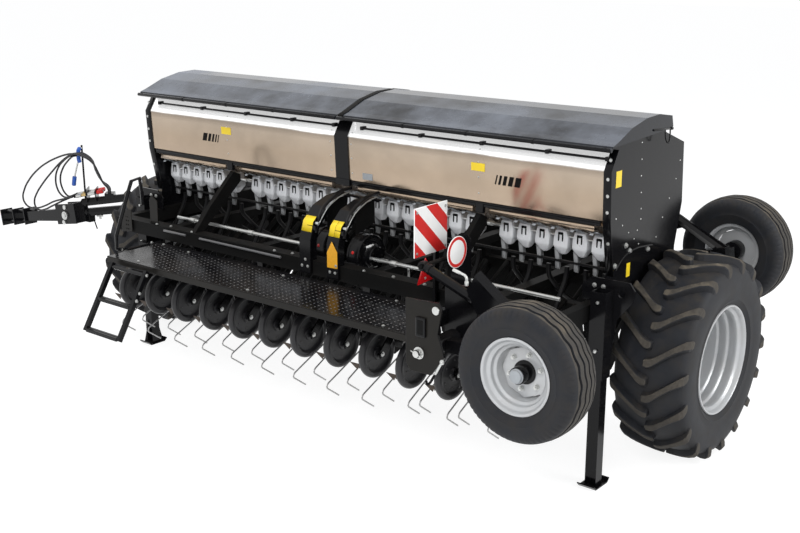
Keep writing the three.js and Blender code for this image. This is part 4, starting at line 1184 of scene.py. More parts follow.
# %% Flanges, lower rail and hinge
FLANGE_LINE = [(-346, 1290), (-413, 1630), (-431, 1934), (-356, 2054)]
for word, sign in (("left", -1), ("right", 1)):
    x0, x1 = sorted((sign * 2037, sign * 2084))
    outline = FLANGE_LINE + [(y + 5, z) for y, z in FLANGE_LINE[::-1]]
    flange = plate(outline, "x", x0, x1, 0.8, name="flange")
    dress(flange, BLACK, "frame", slot="black").name = f"end_flange_{word}"
edge_rail = [
    smooth(rod((-2012, -398, 1622), (2012, -398, 1622), 9, 12), 50),
    block((-2012, 2012), (-404, -392), (1600, 1624), 2),
    block((-66, 66), (-420, -398), (1592, 1640), 3),
]
for x in (-1150, 1150):
    edge_rail.append(block((x - 30, x + 30), (-410, -380), (1560, 1622), 4))
dress(joined(edge_rail, "panel_lower_rail"), BLACK, "frame", slot="black")
HINGE_PITCH, HINGE_GAP = 200, 4
barrels = [
    smooth(rod((x, 300, 2103), (x + HINGE_PITCH - HINGE_GAP, 300, 2103), 7.5, 10), 50)
    for x in range(-2000, 1990, HINGE_PITCH)
]
hinge = joined(barrels, "lid_hinge_barrels")
dress(hinge, ZINC, "frame", slot="zinc")

# %% Screws, bolts and rivets
SCREW_COLUMNS = (-1157, -105, 86, 1145)


def panel_y(z):
    """How far back the lower part of the sloping panel stands at a height."""
    return -421 + (1933 - z) * 16 / 296


screws = [facing((x, panel_y(z) - 2.2, z), (0, -1, -0.05)) for x in SCREW_COLUMNS for z in (1888, 1790, 1686)]
screws += [facing((x, -404, 1964), (0, -0.84, 0.54)) for x in SCREW_COLUMNS]
screw_row = copies(dome_head(6, 3), screws, "panel_screws")
dress(screw_row, ZINC, "frame", slot="zinc")

# %% [markdown]
# Each end plate shows two straight rows of rivets, where the sloping floor and the front sheet are fixed
# inside, and a few large bolts over the wheel. All of them are given as (y, z) on the plate.

# %% Fasteners of the end plates
END_FACE = 2037
FLANGE_BOLTS = [(-409, 2000), (-428, 1890), (-423, 1790), (-418, 1692), (-390, 1500)]
END_RIVETS = [
    (21, 2046), (29, 1942), (34, 1839), (45, 1734), (56, 1630), (61, 1564), (21, 1500), (-15, 1453), (-90, 1507),
    (-174, 1566), (-259, 1622), (48, 1408), (565, 1861), (520, 1747), (440, 1633), (360, 1521), (285, 1407),
]
END_BOLTS = [(178, 1350), (-250, 1330), (-120, 1432), (-66, 1388)]
for word, sign in (("left", -1), ("right", 1)):
    heads = copies(hex_bolt(7.5, 6), [facing((sign * 2062, y, z), (0, -1, 0)) for y, z in FLANGE_BOLTS],
                   f"flange_bolts_{word}")
    dress(heads, ZINC, "frame", slot="zinc")
    row = copies(dome_head(5, 2.5), [facing((sign * END_FACE, y, z), (sign, 0, 0)) for y, z in END_RIVETS],
                 f"end_rivets_{word}")
    dress(row, ZINC, "frame", slot="zinc")
    large = copies(hex_bolt(13, 11), [facing((sign * END_FACE, y, z), (sign, 0, 0), 0.3 * i)
                                      for i, (y, z) in enumerate(END_BOLTS)], f"end_bolts_{word}")
    dress(large, ZINC, "frame", slot="zinc")
    arc = tube([(sign * 2041, -240, 1300), (sign * 2041, -150, 1372), (sign * 2041, 20, 1390),
                (sign * 2041, 230, 1366)], 5, bend=70)
    dress(smooth(arc, 50), BLACK, "frame", slot="black").name = f"end_edge_bead_{word}"

# %% [markdown]
# The front of the hopper leans out over the hitch as one folded sheet. Ribs stiffen it between the end plates,
# and three bolts hold each rib. One outline is extruded at five places, since all ribs are alike.

# %% Front ribs
FRONT_RIB = [(222, 1400), (600, 1872), (612, 1966), (598, 1972), (584, 1880), (208, 1412)]
RIB_PLACES = (-1560, -780, 0, 780, 1560)
RIB_BOLTS = ((300, 1497), (420, 1647), (540, 1797))
ribs = joined([plate(FRONT_RIB, "x", x - 18, x + 18, 1.5) for x in RIB_PLACES], "front_ribs")
dress(ribs, BLACK, "frame", slot="black")
rib_bolts = copies(hex_bolt(8, 6), [
    facing((x, y, z), (0, 0.78, -0.625)) for x in RIB_PLACES for y, z in RIB_BOLTS
], "front_rib_bolts")
dress(rib_bolts, ZINC, "frame", slot="zinc")
print("front ribs", len(RIB_PLACES))


# %% [markdown]
# Blank labels stand where a machine carries its notices. Each is a thin sheet with rounded edges, just
# proud of the steel, and carries no print.

# %% Blank labels
def label(name, colour, low, high):
    """A thin blank label between two corners in millimetres."""
    return dress(block(*zip(low, high), bevel=0.4, name=name), colour, "frame", slot="sign")


def panel_sheet(corners, name, proud=4.4):
    """A thin sheet on the sloping panel through corners given as (x, z)."""
    sheet = plate(corners, "y", -proud, 0, 0.2, name=name)
    for vertex in sheet.data.vertices:
        vertex.co.y += panel_y(vertex.co.z * 1000) / 1000
    return sheet


print("label makers ready")

# %% Labels and stripes on the panel
PANEL_LABELS = [
    ("panel_label_left", YELLOW, -1214, -1111, 1832, 1886),
    ("panel_label_right", YELLOW, 1091, 1194, 1829, 1880),
    ("panel_data_plate", GREY_PLASTIC, 180, 267, 1655, 1699),
]
for name, colour, x0, x1, z0, z1 in PANEL_LABELS:
    dress(panel_sheet([(x0, z0), (x1, z0), (x1, z1), (x0, z1)], name), colour, "frame", slot="sign")
STRIPE_LOW, STRIPE_HIGH, STRIPE_GAP = 1760, 1820, 16
bars = []
for start, widths, lean in ((-1436, (44, 27, 19, 12, 7), 20), (1268, (9, 16, 24, 31, 40), 15)):
    along = start
    for width in widths:
        bars.append(panel_sheet([(along, STRIPE_LOW), (along + width, STRIPE_LOW),
                                 (along + width + lean, STRIPE_HIGH), (along + lean, STRIPE_HIGH)], "bar", 3.8))
        along += width + STRIPE_GAP
dress(joined(bars, "panel_stripes"), DEEP, "frame", slot="black")

# %% Labels on the end plates
for word, sign in (("left", -1), ("right", 1)):
    x0, x1 = sorted((sign * 2036.5, sign * 2038.2))
    label(f"end_label_upper_{word}", YELLOW, (x0, -285, 1812), (x1, -218, 1911))
    label(f"end_label_lower_{word}", YELLOW, (x0, -95, 1225), (x1, -50, 1312))
# %% [markdown]
# Under the hopper floor hangs one seed meter per row. Each is a cast housing, widest at its middle and drawn
# down to a rounded point, with a black clip over the drive shaft, a flat grey slide that follows the slope
# of the floor and a grey spout that hands the seed to a rubber tube. One meter is modelled and copied.

# %% Rows across the machine
ROW_PITCH = 134
ROWS = [k for k in range(1, 16) if k != 9]
ROW_PLACES = sorted([ROW_PITCH * (k - 0.5) for k in ROWS] + [-ROW_PITCH * (k - 0.5) for k in ROWS])
METER_Y, METER_Z, SHAFT_Y, SHAFT_Z = -233, 1424, -262, 1466
print("rows", len(ROW_PLACES))


def along_rows(pattern, name):
    """Copies a piece modelled on the middle of the machine to every row."""
    return copies(pattern, [Matrix.Translation((x / 1000, 0, 0)) for x in ROW_PLACES], name)


# %% [markdown]
# The housing starts as a cube cut in three each way. Its top ring is drawn in a little and its lower ring
# far more, and a bevel rounds what is left, which is close to how a casting with draft looks.

# %% Housing
WAIST, TOP_DRAFT, FOOT_DRAFT = 0.6, 0.74, 0.36
bpy.ops.mesh.primitive_cube_add(size=1, location=at(0, METER_Y, METER_Z))
housing = bpy.context.active_object
housing.scale = (0.106, 0.104, 0.150)
settle(housing)
only(housing)
bpy.ops.object.mode_set(mode="EDIT")
bpy.ops.mesh.select_all(action="SELECT")
bpy.ops.mesh.subdivide(number_cuts=2)
bpy.ops.object.mode_set(mode="OBJECT")
middle = at(0, METER_Y, METER_Z)
for vertex in housing.data.vertices:
    offset = vertex.co - middle
    share = offset.z / 0.075
    wide = 1.0 if abs(share) < WAIST else (TOP_DRAFT if share > 0 else FOOT_DRAFT)
    vertex.co = middle + Vector((offset.x * wide, offset.y * (wide if share < 0 else 0.9), offset.z * 1.08))
apply_modifier(housing, "BEVEL", width=0.009, segments=2, limit_method="ANGLE", angle_limit=0.2)
smooth(housing, 40)
ridge = plate([(METER_Y - 58, METER_Z + 8), (METER_Y - 20, METER_Z - 82), (METER_Y, METER_Z - 82),
               (METER_Y, METER_Z + 8)], "x", -3, 3, 1.0)
collar = block((-40, 40), (METER_Y - 36, METER_Y + 36), (METER_Z + 70, METER_Z + 86), 5)
one_meter = joined([housing, ridge, collar], "meter")
dress(along_rows(one_meter, "meter_housings"), CAST, "frame", "metering_bank", slot="cast")

# %% Clips, shaft and slides
clip = joined([
    block((-19, 19), (SHAFT_Y - 24, SHAFT_Y + 12), (SHAFT_Z + 8, SHAFT_Z + 24), 5),
    block((-19, -9), (SHAFT_Y - 22, SHAFT_Y + 8), (SHAFT_Z - 34, SHAFT_Z + 12), 4),
    block((9, 19), (SHAFT_Y - 22, SHAFT_Y + 8), (SHAFT_Z - 34, SHAFT_Z + 12), 4),
], "clip")
dress(along_rows(clip, "meter_clips"), DEEP, "frame", slot="black")
shaft = [smooth(rod((-1990, SHAFT_Y, SHAFT_Z), (1990, SHAFT_Y, SHAFT_Z), 8, 14), 50)]
for x in (-1139, 0, 1139):
    shaft.append(smooth(rod((x - 22, SHAFT_Y, SHAFT_Z), (x + 22, SHAFT_Y, SHAFT_Z), 16, 18, 2), 50))
dress(joined(shaft, "meter_shaft"), ZINC, "frame", slot="zinc")
SLIDE_LINE = [(METER_Y - 128, 1546), (METER_Y - 20, 1502), (METER_Y - 20, 1506), (METER_Y - 128, 1550)]
TAB_LINE = [(METER_Y - 128, 1546), (METER_Y - 150, 1530), (METER_Y - 150, 1535), (METER_Y - 128, 1551)]
slide = joined([plate(SLIDE_LINE, "x", -30, 30, 0.8), plate(TAB_LINE, "x", -12, 12, 0.8)], "slide")
dress(along_rows(slide, "meter_slides"), GREY_PLASTIC, "frame", slot="cast")

# %% [markdown]
# A rubber tube hangs from each spout and leads to its opener. The rows alternate between two ranks, so half
# of the tubes swing further forward than the others.

# %% Spouts
SPOUT_LINE = [
    (METER_Y - 14, 1372), (METER_Y + 26, 1372), (METER_Y + 40, 1300), (METER_Y + 22, 1232), (METER_Y + 4, 1240),
    (METER_Y + 2, 1300),
]
spout = plate(SPOUT_LINE, "x", -64, -34, 5)
dress(along_rows(spout, "meter_spouts"), SPOUT, "frame", slot="cast")

# %% Seed tubes
FOOT_AHEAD = 240
RANK_OF_ROW = {ROW_PITCH * (k - 0.5): (i + len(ROWS) + 1) % 2 for i, k in enumerate(ROWS)}
rear_low, rear_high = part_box("opener_bank_rear")
front_low, front_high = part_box("opener_bank_front")
RANK_BACK = [(rear_low.y - MIDDLE.y) * 1000, (front_low.y - MIDDLE.y) * 1000]
FEET = {x: RANK_BACK[RANK_OF_ROW[abs(x)]] + FOOT_AHEAD for x in ROW_PLACES}
tubes = []
for x, foot_y in FEET.items():
    tubes.append(smooth(tube([
        (x, METER_Y + 46, 1250), (x, METER_Y + 40, 1180), (x, (METER_Y + foot_y) / 2, 1020), (x, foot_y, 900),
        (x, foot_y - 20, 760),
    ], 16, bend=50, sides=2, steps=4), 60))
cross = block((-1990, 1990), (METER_Y - 8, METER_Y + 12), (1288, 1302), 2)
dress(joined(tubes + [cross], "seed_tubes_round"), SEED_TUBE, "frame", "seed_tubes", slot="rubber")

# %% [markdown]
# Between the panel and the meters a narrow strip of the bright floor shows. At the front the frame is closed
# by a skirt and two end webs, which keep soil off the meters. They are folded sheet, so plates will do.

# %% Strips, skirt and end webs
strips = []
for x0, x1 in ((-1967, -1212), (-1088, -120), (120, 1088), (1212, 1967)):
    strips.append(plate([(-393, 1560), (-391, 1560), (-391, 1599), (-393, 1599)], "x", x0, x1, 0.3))
dress(joined(strips, "floor_front_strips"), STAINLESS, "frame", slot="stainless")
END_WEB_LEFT = [(200, 1048), (200, 900), (420, 560), (878, 560), (878, 1048)]
END_WEB_RIGHT = [(430, 1048), (430, 900), (520, 640), (878, 640), (878, 1048)]
skirt = [block((-1960, 1960), (769, 775), (610, 1062), 1.5), block((-1960, 1960), (755, 775), (610, 626), 3)]
for x in range(-1800, 1900, 400):
    skirt.append(block((x - 20, x + 20), (760, 770), (620, 1060), 2))
skirt += [plate(END_WEB_LEFT, "x", -2024, -2018, 1.5), plate(END_WEB_RIGHT, "x", 2018, 2024, 1.5)]
dress(joined(skirt, "front_skirt"), DEEP, "frame", slot="black")

# %% Opener springs
arms = []
for x, foot_y in FEET.items():
    arms.append(smooth(rod((x + 34, foot_y + 250, 985), (x + 34, foot_y - 60, 760), 20, 12, 1), 50))
    arms.append(smooth(rod((x - 34, foot_y + 230, 1010), (x - 34, foot_y - 120, 820), 16, 12, 1), 50))
dress(joined(arms, "opener_springs"), DEEP, "frame", slot="black")
print("ranks stand back", [round(y) for y in RANK_BACK])
# %% [markdown]
# Two drum-shaped gearboxes drive the seed shaft. Each is a spun drum with flanged rims, a ring of cover
# bolts on its right face and a red mark on its rim. A bare shaft feeds them from the left and runs on to the
# right wheel, and a cranked rod comes out of the second one to set the rate.

# %% Gearbox drums
DRUM_Y, DRUM_Z = -560, 1180
DRUM_PLACES = (20, 330)
COVER_BOLTS, COVER_CIRCLE, COVER_FACE = 9, 126, 53
NOSE_BOLTS, NOSE_CIRCLE, NOSE_FACE = 5, 48, 98
DRUM = [
    (13, -58), (58, -58), (66, -54), (118, -54), (126, -50), (139, -50), (145, -45), (145, -32), (140, -28),
    (140, 24), (145, 28), (145, 46), (139, 52), (112, 54), (104, 50), (78, 56), (72, 62), (72, 92), (66, 98),
    (13, 98),
]


def drum_bolts(x, count, circle, first):
    """Where the bolts of one ring sit on the right side of a drum."""
    turns = [k * math.tau / count + first for k in range(count)]
    return [facing((x, DRUM_Y + circle * math.cos(t), DRUM_Z + circle * math.sin(t)), (1, 0, 0), k)
            for k, t in enumerate(turns)]


drums, bolts, marks = [], [], []
for x in DRUM_PLACES:
    drums.append(smooth(spun(DRUM, (x, DRUM_Y, DRUM_Z), steps=56, name="drum"), 40))
    bolts += drum_bolts(x + COVER_FACE, COVER_BOLTS, COVER_CIRCLE, 0.2)
    bolts += drum_bolts(x + NOSE_FACE, NOSE_BOLTS, NOSE_CIRCLE, 0.0)
    drums.append(block((x - 45, x + 45), (-650, -470), (1128, 1152), 3))
    for dy in (-80, 80):
        drums.append(block((x - 14, x + 14), (DRUM_Y + dy - 14, DRUM_Y + dy + 14), (1030, 1140), 3))
    marks.append(facing((x, DRUM_Y - 134, DRUM_Z + 39), (0, -0.96, 0.28)))
drums.append(block((-40, 390), (-706, -676), (1100, 1150), 4))
dress(joined(drums, "gearbox_drums"), BLACK, "frame", "drive_gearboxes", slot="black")
dress(copies(hex_bolt(6.5, 5), bolts, "gearbox_cover_bolts"), DEEP, "frame", slot="black")
dress(copies(dome_head(12, 4), marks, "gearbox_marks"), RED, "frame", slot="sign")
vent = [rod((383, DRUM_Y - 20, DRUM_Z + 70), (396, DRUM_Y - 20, DRUM_Z + 70), 11, 16, 2),
        block((384, 392), (DRUM_Y - 60, DRUM_Y + 16), (DRUM_Z + 62, DRUM_Z + 80), 4)]
dress(smooth(joined(vent, "gearbox_level_slot"), 40), WHITE, "frame", slot="sign")

# %% Input shaft and crank
INPUT_Y, INPUT_Z = -640, 1188
CRANK_LINE = [(420, -560, 1166), (560, -560, 1162), (700, -560, 1158), (706, -560, 1030)]
shaft = [smooth(rod((-1500, INPUT_Y, INPUT_Z), (-60, INPUT_Y, INPUT_Z), 12, 16, 1), 50),
         smooth(rod((440, INPUT_Y, INPUT_Z), (1900, INPUT_Y, INPUT_Z), 12, 16, 1), 50)]
for x in (-1330, -700, 640, 1180):
    shaft.append(smooth(rod((x - 26, INPUT_Y, INPUT_Z), (x + 26, INPUT_Y, INPUT_Z), 18, 18, 2), 50))
shaft.append(smooth(tube(CRANK_LINE, 8, bend=26), 50))
shaft.append(smooth(rod((470, -560, 1164), (520, -560, 1163), 15, 6, 1.5), 30))
shaft.append(smooth(rod((600, -560, 1161), (650, -560, 1160), 13, 6, 1.5), 30))
dress(joined(shaft, "drive_shaft"), ZINC, "frame", slot="zinc")

# %% [markdown]
# The guards stay as they came, strap, flange and hoop. They only gain their blank labels, which wrap over
# the bend of the strap, their bolts and the thin stay wires under the hoops.

# %% Guard labels
WRAP = [(-824, 1346), (-804, 1412), (-769, 1443), (-767.5, 1441), (-802, 1410.5), (-822.5, 1345.5)]
GUARD_LABELS = [
    ("guard_label_first", -12, 78), ("guard_label_second", 235, 281), ("guard_label_third", 284, 330),
]
for name, x0, x1 in GUARD_LABELS:
    dress(plate(WRAP, "x", x0, x1, 0.2, name=name), YELLOW, "frame", slot="sign")
ORANGE = finish("orange_label", (0.83, 0.40, 0.02), dust=(0.5, 0.3, 0.1), amount=0.1, gloss=0.35, mottle=0.3,
                mottle_scale=60, bump=0.03)
tall = plate([(282, 1318), (329, 1250), (329, 1140), (238, 1136), (238, 1240)], "y", -846, -844.6, 0.3)
dress(tall, ORANGE, "frame", slot="sign").name = "guard_label_tall"

# %% Guard bolts, stays and inner covers
places = [(40, 1158), (8, 1112), (60, 1112), (316, 1158), (262, 1108), (308, 1108)]
feet = copies(hex_bolt(8, 6), [facing((x, -845, z), (0, -1, 0), x) for x, z in places], "guard_bolts")
dress(feet, ZINC, "frame", slot="zinc")
stays = []
for x in (112, 361):
    stay_line = [(x, -792, 1392), (x, -700, 1498), (x, -560, 1560), (x, -470, 1566)]
    stays.append(smooth(tube(stay_line, 4, bend=50), 50))
    stays.append(smooth(rod((x - 22, -790, 1405), (x + 8, -790, 1405), 10, 6, 1.5), 30))
dress(joined(stays, "guard_stays"), ZINC, "frame", slot="zinc")
COVER_LINE = [(-640, 1490), (-560, 1530), (-445, 1536), (-445, 1380), (-560, 1345), (-650, 1330)]
covers = [plate(COVER_LINE, "x", x + 30, x + 34, 1) for x in (33, 282)]
dress(joined(covers, "guard_inner_covers"), DEEP, "frame", slot="black")
# %% [markdown]
# The loading platform is a sheet of raised-dimple tread plate folded down at its edges. Its dimples are
# what the eye reads as grip, so they are real: one low dome, copied along a row, and the row copied across.

# %% Platform sheet
PLATFORM_X, PLATFORM_Y, PLATFORM_TOP = (-1400, 1358), (-1393, -897), 1053
sheet = [
    block(PLATFORM_X, PLATFORM_Y, (PLATFORM_TOP - 6, PLATFORM_TOP - 1), 1.5),
    block((PLATFORM_X[0] + 4, PLATFORM_X[1] - 4), (-948, -899), (PLATFORM_TOP - 4, PLATFORM_TOP), 1),
]
for x in (-1390, -470, 450, 1330):
    sheet.append(block((x, x + 20), (-1390, -822), (1013, 1046), 2))
dress(joined(sheet, "platform_sheet"), BLACK, "frame", "loading_platform", slot="black")
EDGE = finish("edge_paint", (0.0075, 0.0068, 0.0058),
              dust=(0.030, 0.025, 0.020), amount=0.18, up=0.4, gloss=0.3,
              mottle=0.4, dust_scale=3, bump=0.05, specular=0.18)
lips = [block(PLATFORM_X, (-1393, -1387), (1007, PLATFORM_TOP - 0.5), 2.2),
        block(PLATFORM_X, (-903, -897), (1007, PLATFORM_TOP - 0.5), 2.2),
        block((PLATFORM_X[0], PLATFORM_X[0] + 5), PLATFORM_Y, (1012, PLATFORM_TOP - 0.5), 2)]
dress(joined(lips, "platform_lips"), EDGE, "frame", slot="black")

# %% Dimples
DIMPLE_ROWS, DIMPLE_COLUMNS, ROW_STEP, COLUMN_STEP, STAGGER = 13, 53, 33, 0.0515, 0.0165
DIMPLE = finish("dimple_paint", (0.045, 0.046, 0.050), dust=(0.16, 0.15, 0.14), amount=0.3, up=0.6, gloss=0.35,
                mottle=0.6, mottle_scale=60, bump=0.05)
bpy.ops.mesh.primitive_cone_add(vertices=8, radius1=0.0085, radius2=0.004, depth=0.0028,
                                location=(0, 0, 0.0014))
dimple = bpy.context.active_object
rows = [Matrix.Translation(at(-1372, -1370 + ROW_STEP * k, PLATFORM_TOP - 1)) for k in range(DIMPLE_ROWS)]
column = copies(dimple, rows, "column")
spots = [Matrix.Translation((COLUMN_STEP * k, STAGGER * (k % 2), 0)) for k in range(DIMPLE_COLUMNS)]
dress(copies(column, spots, "platform_dimples"), DIMPLE, "frame", slot="black")
heads = [(-1340, -925), (-1021, -960), (-52, -968), (900, -930), (3, -1350), (1148, -1358), (-1100, -1350)]
dress(copies(hex_bolt(8, 5), [facing((x, y, PLATFORM_TOP), (0, 0, 1), x) for x, y in heads], "platform_bolts"),
      ZINC, "frame", slot="zinc")

# %% [markdown]
# Two pipes carry the cables along the rear beam; their grey is a painted highlight. A row of bolts ties the beam
# down. The plates at its left end are cut to shape with round holes, where a handrail and spare parts are fixed.

# %% Rear beam pipes and bolts
pipes = [smooth(rod((-1441, -833, 1126), (-1198, -833, 1126), 9, 14, 1), 50),
         smooth(rod((-1041, -833, 1126), (-206, -833, 1126), 9, 14, 1), 50)]
pipe_row = joined(pipes, "rear_beam_pipes")
# The pipes' grey is a painted highlight, standing for the light bars along the rear beam.
PIPE_PAINTED_HIGHLIGHT = finish("pipe_painted_highlight", (0.11, 0.11, 0.115), amount=0.1, gloss=0.3, bump=0.05)
dress(pipe_row, PIPE_PAINTED_HIGHLIGHT, "frame", slot="black")
studs = [
    (-1560, -800), (-1420, -780), (-1160, -800), (-300, -800), (-150, -775), (520, -800), (760, -790),
    (1020, -800),
]
heads = copies(hex_bolt(9, 8), [facing((x, y, 1150), (0, 0, 1), x) for x, y in studs], "rear_beam_bolts")
dress(heads, ZINC, "frame", slot="zinc")

# %% Side plates
holes = [(-1885 + 22 * (k % 2), 1075 + 32 * (k // 2), 6) for k in range(8)]
side_plates = [
    plate([(-1945, 1045), (-1820, 1060), (-1820, 1230), (-1945, 1215)], "y", -836, -830, 1.5, holes=holes),
    plate([(-1650, 1152), (-1560, 1152), (-1560, 1330), (-1620, 1360), (-1650, 1330)], "y", -790, -784, 1.5),
]
dress(joined(side_plates, "side_plates"), EDGE, "frame", slot="black")

# %% [markdown]
# The ladder folds up on its hinge, so all that is added to it rides on it: two steps with some depth, and the
# bolts of its joints. The handrail's feet are bolted to the platform and stay.

# %% Ladder steps and bolts
LADDER_X = (-1290, -920)
steps = []
for share in (0.52, 0.97):
    y, z = -1425 - 270 * share, 1030 - 440 * share
    steps.append(block((LADDER_X[0] + 14, LADDER_X[1] - 14), (y - 20, y + 26), (z - 16, z + 10), 4))
dress(joined(steps, "ladder_steps"), BLACK, "ladder", slot="black")
joints = [((LADDER_X[1] + 17, -1510, 892), (1, 0, 0)), ((LADDER_X[1] + 17, -1540, 845), (1, 0, 0)),
          ((LADDER_X[0] - 17, -1500, 905), (-1, 0, 0)), ((LADDER_X[1] + 17, -1440, 1005), (1, 0, 0))]
dress(copies(hex_bolt(9, 9), [facing(p, d) for p, d in joints], "ladder_bolts"), ZINC, "ladder", slot="zinc")
feet = copies(hex_bolt(8, 8), [facing((-1472, y, 1046), (0, 0, 1)) for y in (-1205, -930)], "handrail_bolts")
dress(feet, ZINC, "frame", slot="zinc")
# %% [markdown]
# Twelve press wheels firm the rows. Each is a narrow rubber wheel with a round shoulder and a dished web,
# held by a nut, with a ring of small bolts. Brown scraper wings stand beside each wheel.

# %% Press wheels
PRESS_Y, PRESS_Z, PRESS_PITCH = -948, 682, 300
PRESS_PLACES = [PRESS_PITCH * (number - (PRESS_COUNT - 1) / 2) for number in range(PRESS_COUNT)]
WEB_BOLTS, WEB_CIRCLE, WEB_TURN = 6, 88, 0.4
PRESS_PROFILE = [
    (14, -25), (34, -25), (40, -22), (44, -12), (108, -9), (122, -12), (130, -22), (146, -25), (158, -19),
    (164, -8), (165, 0), (164, 8), (158, 19), (146, 25), (130, 22), (122, 12), (108, 9), (44, 12), (40, 22),
    (34, 25), (14, 25),
]
web_bolt = dome_head(5.5, 4, 8)
for number, x in enumerate(PRESS_PLACES):
    wheel = smooth(spun(PRESS_PROFILE, (x, PRESS_Y, PRESS_Z), steps=44, name="wheel"), 40)
    wheel.data.materials.append(PRESS)
    pattern = web_bolt.copy()
    pattern.data = web_bolt.data.copy()
    scene.collection.objects.link(pattern)
    turns = [k * math.tau / WEB_BOLTS + WEB_TURN for k in range(WEB_BOLTS)]
    places = [
        facing((x + side * 10, PRESS_Y + WEB_CIRCLE * math.cos(t), PRESS_Z + WEB_CIRCLE * math.sin(t)),
               (side, 0, 0))
        for t in turns for side in (-1, 1)
    ]
    ring = copies(pattern, places, "ring")
    ring.data.materials.clear()
    ring.data.materials.append(DISC)
    name = f"press_wheel_{number + 1:02d}"
    dress(joined([wheel, ring], name + "_round"), None, name, name, slot="rubber")
bpy.data.objects.remove(web_bolt)

# %% Hub nuts and scraper wings
nuts = copies(hex_bolt(12, 9), [facing((x + 48.5, PRESS_Y, PRESS_Z), (1, 0, 0), x) for x in PRESS_PLACES],
              "press_nuts")
dress(nuts, ZINC, "frame", slot="zinc")
wing = plate([(-112, 634), (-46, 594), (-26, 636)], "y", -1084, -1080, 1.0)
stem = plate([(-1084, 636), (-1080, 604), (-960, 640), (-735, 902), (-775, 902), (-985, 668)], "x",
             -36, -31, 1.0)
places = [Matrix.Translation((x / 1000, 0, 0)) for x in PRESS_PLACES]
scrapers = copies(joined([wing, stem], "scraper"), places, "press_scrapers")
dress(scrapers, SCRAPER, "frame", slot="black")

# %% [markdown]
# Behind the wheels a row of spring tines combs the soil level. Each is one piece of round wire that starts
# in a coil on the bar, trails back and hooks forward at its tip.


# %% A coil of wire
COIL_STEPS = 14


def coil(x, y, z, radius, wire, turns, pitch):
    """A coil of round wire about a centre line along x, in millimetres."""
    line = []
    for k in range(turns * COIL_STEPS + 1):
        angle = math.tau * k / COIL_STEPS
        along = (k / COIL_STEPS - turns / 2) * pitch
        line.append((x + along, y + radius * math.cos(angle), z + radius * math.sin(angle)))
    return smooth(tube(line, wire, "coil", sides=1), 60)


print("coil maker ready")

# %% Spring tines
LONG_TINE = [(-1135, 461), (-1146, 436), (-1030, 350)]
SHORT_TINE = [(-674, 650), (-770, 556), (-975, 454), (-986, 429), (-870, 343)]
SHORT_REACH_FROM, SHORTER_BY = 9, 90
tines = []
for number, x in enumerate(PRESS_PLACES):
    forward = 0 if number < SHORT_REACH_FROM else SHORTER_BY
    long_line = [(x + 42, -674, 660)] + [(x + 42, y + forward, z) for y, z in LONG_TINE]
    short_line = [(x + 78, y, z) for y, z in SHORT_TINE]
    for line in (long_line, short_line):
        tines.append(smooth(tube(line, 5, bend=14, sides=2), 60))
    for aside in (28, 92):
        tines.append(coil(x + aside, -674, 660, 32, 4.5, 3, 9.5))
dress(joined(tines, "harrow_tines"), SPRING, "frame", "harrow", slot="spring")

# %% Harrow bar and hangers
HANGER_LINE = [(-694, 640), (-654, 640), (-654, 980), (-725, 1048), (-775, 1048), (-694, 975)]
bar = [block((-1740, 1760), (-694, -654), (640, 680), 3)]
for x in (-1250, -400, 400, 1250):
    bar.append(plate(HANGER_LINE, "x", x - 8, x + 8, 1.5))
for x in PRESS_PLACES:
    bar.append(block((x + 54, x + 66), (-700, -648), (634, 686), 3))
dress(joined(bar, "harrow_bar"), BLACK, "frame", slot="black")
# %% [markdown]
# On the right the drill carries its road signs: a square board with red and white diagonal stripes, a round
# white disc with a red ring that stays blank, and a red triangular reflector. Each stripe is its own thin
# sheet, cut where a diagonal band meets the square.

# %% Cutting a diagonal band
BOARD_Y, BOARD_Z, BOARD_X = (-1088, -768), (1404, 1704), (1158, 1166)


def diagonal_band(start, end):
    """The part of a unit square where across plus up lies between two values."""
    corners = [(0, 0), (1, 0), (1, 1), (0, 1)]
    ring = []
    for (u0, v0), (u1, v1) in zip(corners, corners[1:] + corners[:1]):
        crossings = []
        for limit in (start, end):
            a, b = u0 + v0 - limit, u1 + v1 - limit
            if a * b < 0:
                share = a / (a - b)
                crossings.append((share, (u0 + (u1 - u0) * share, v0 + (v1 - v0) * share)))
        if start <= u0 + v0 <= end:
            ring.append((u0, v0))
        ring += [place for _, place in sorted(crossings)]
    return ring


print("band maker ready")

# %% Striped board
MARGIN = 0.004


def on_board(u, v):
    """A place on the board's face from shares of its width and height."""
    u, v = min(max(u, MARGIN), 1 - MARGIN), min(max(v, MARGIN), 1 - MARGIN)
    return BOARD_Y[0] + (BOARD_Y[1] - BOARD_Y[0]) * u, BOARD_Z[0] + (BOARD_Z[1] - BOARD_Z[0]) * v


dress(block(BOARD_X, BOARD_Y, BOARD_Z, 1.5, name="sign_board"), WHITE, "frame", "rear_signs", slot="sign")
stripes = []
for start, end in ((0.0, 0.34), (0.67, 1.0), (1.34, 1.68)):
    ring = [on_board(u, v) for u, v in diagonal_band(start, end)]
    stripes.append(plate(ring, "x", 1165.8, 1166.8, 0.1))
dress(joined(stripes, "sign_stripes"), RED, "frame", slot="sign")

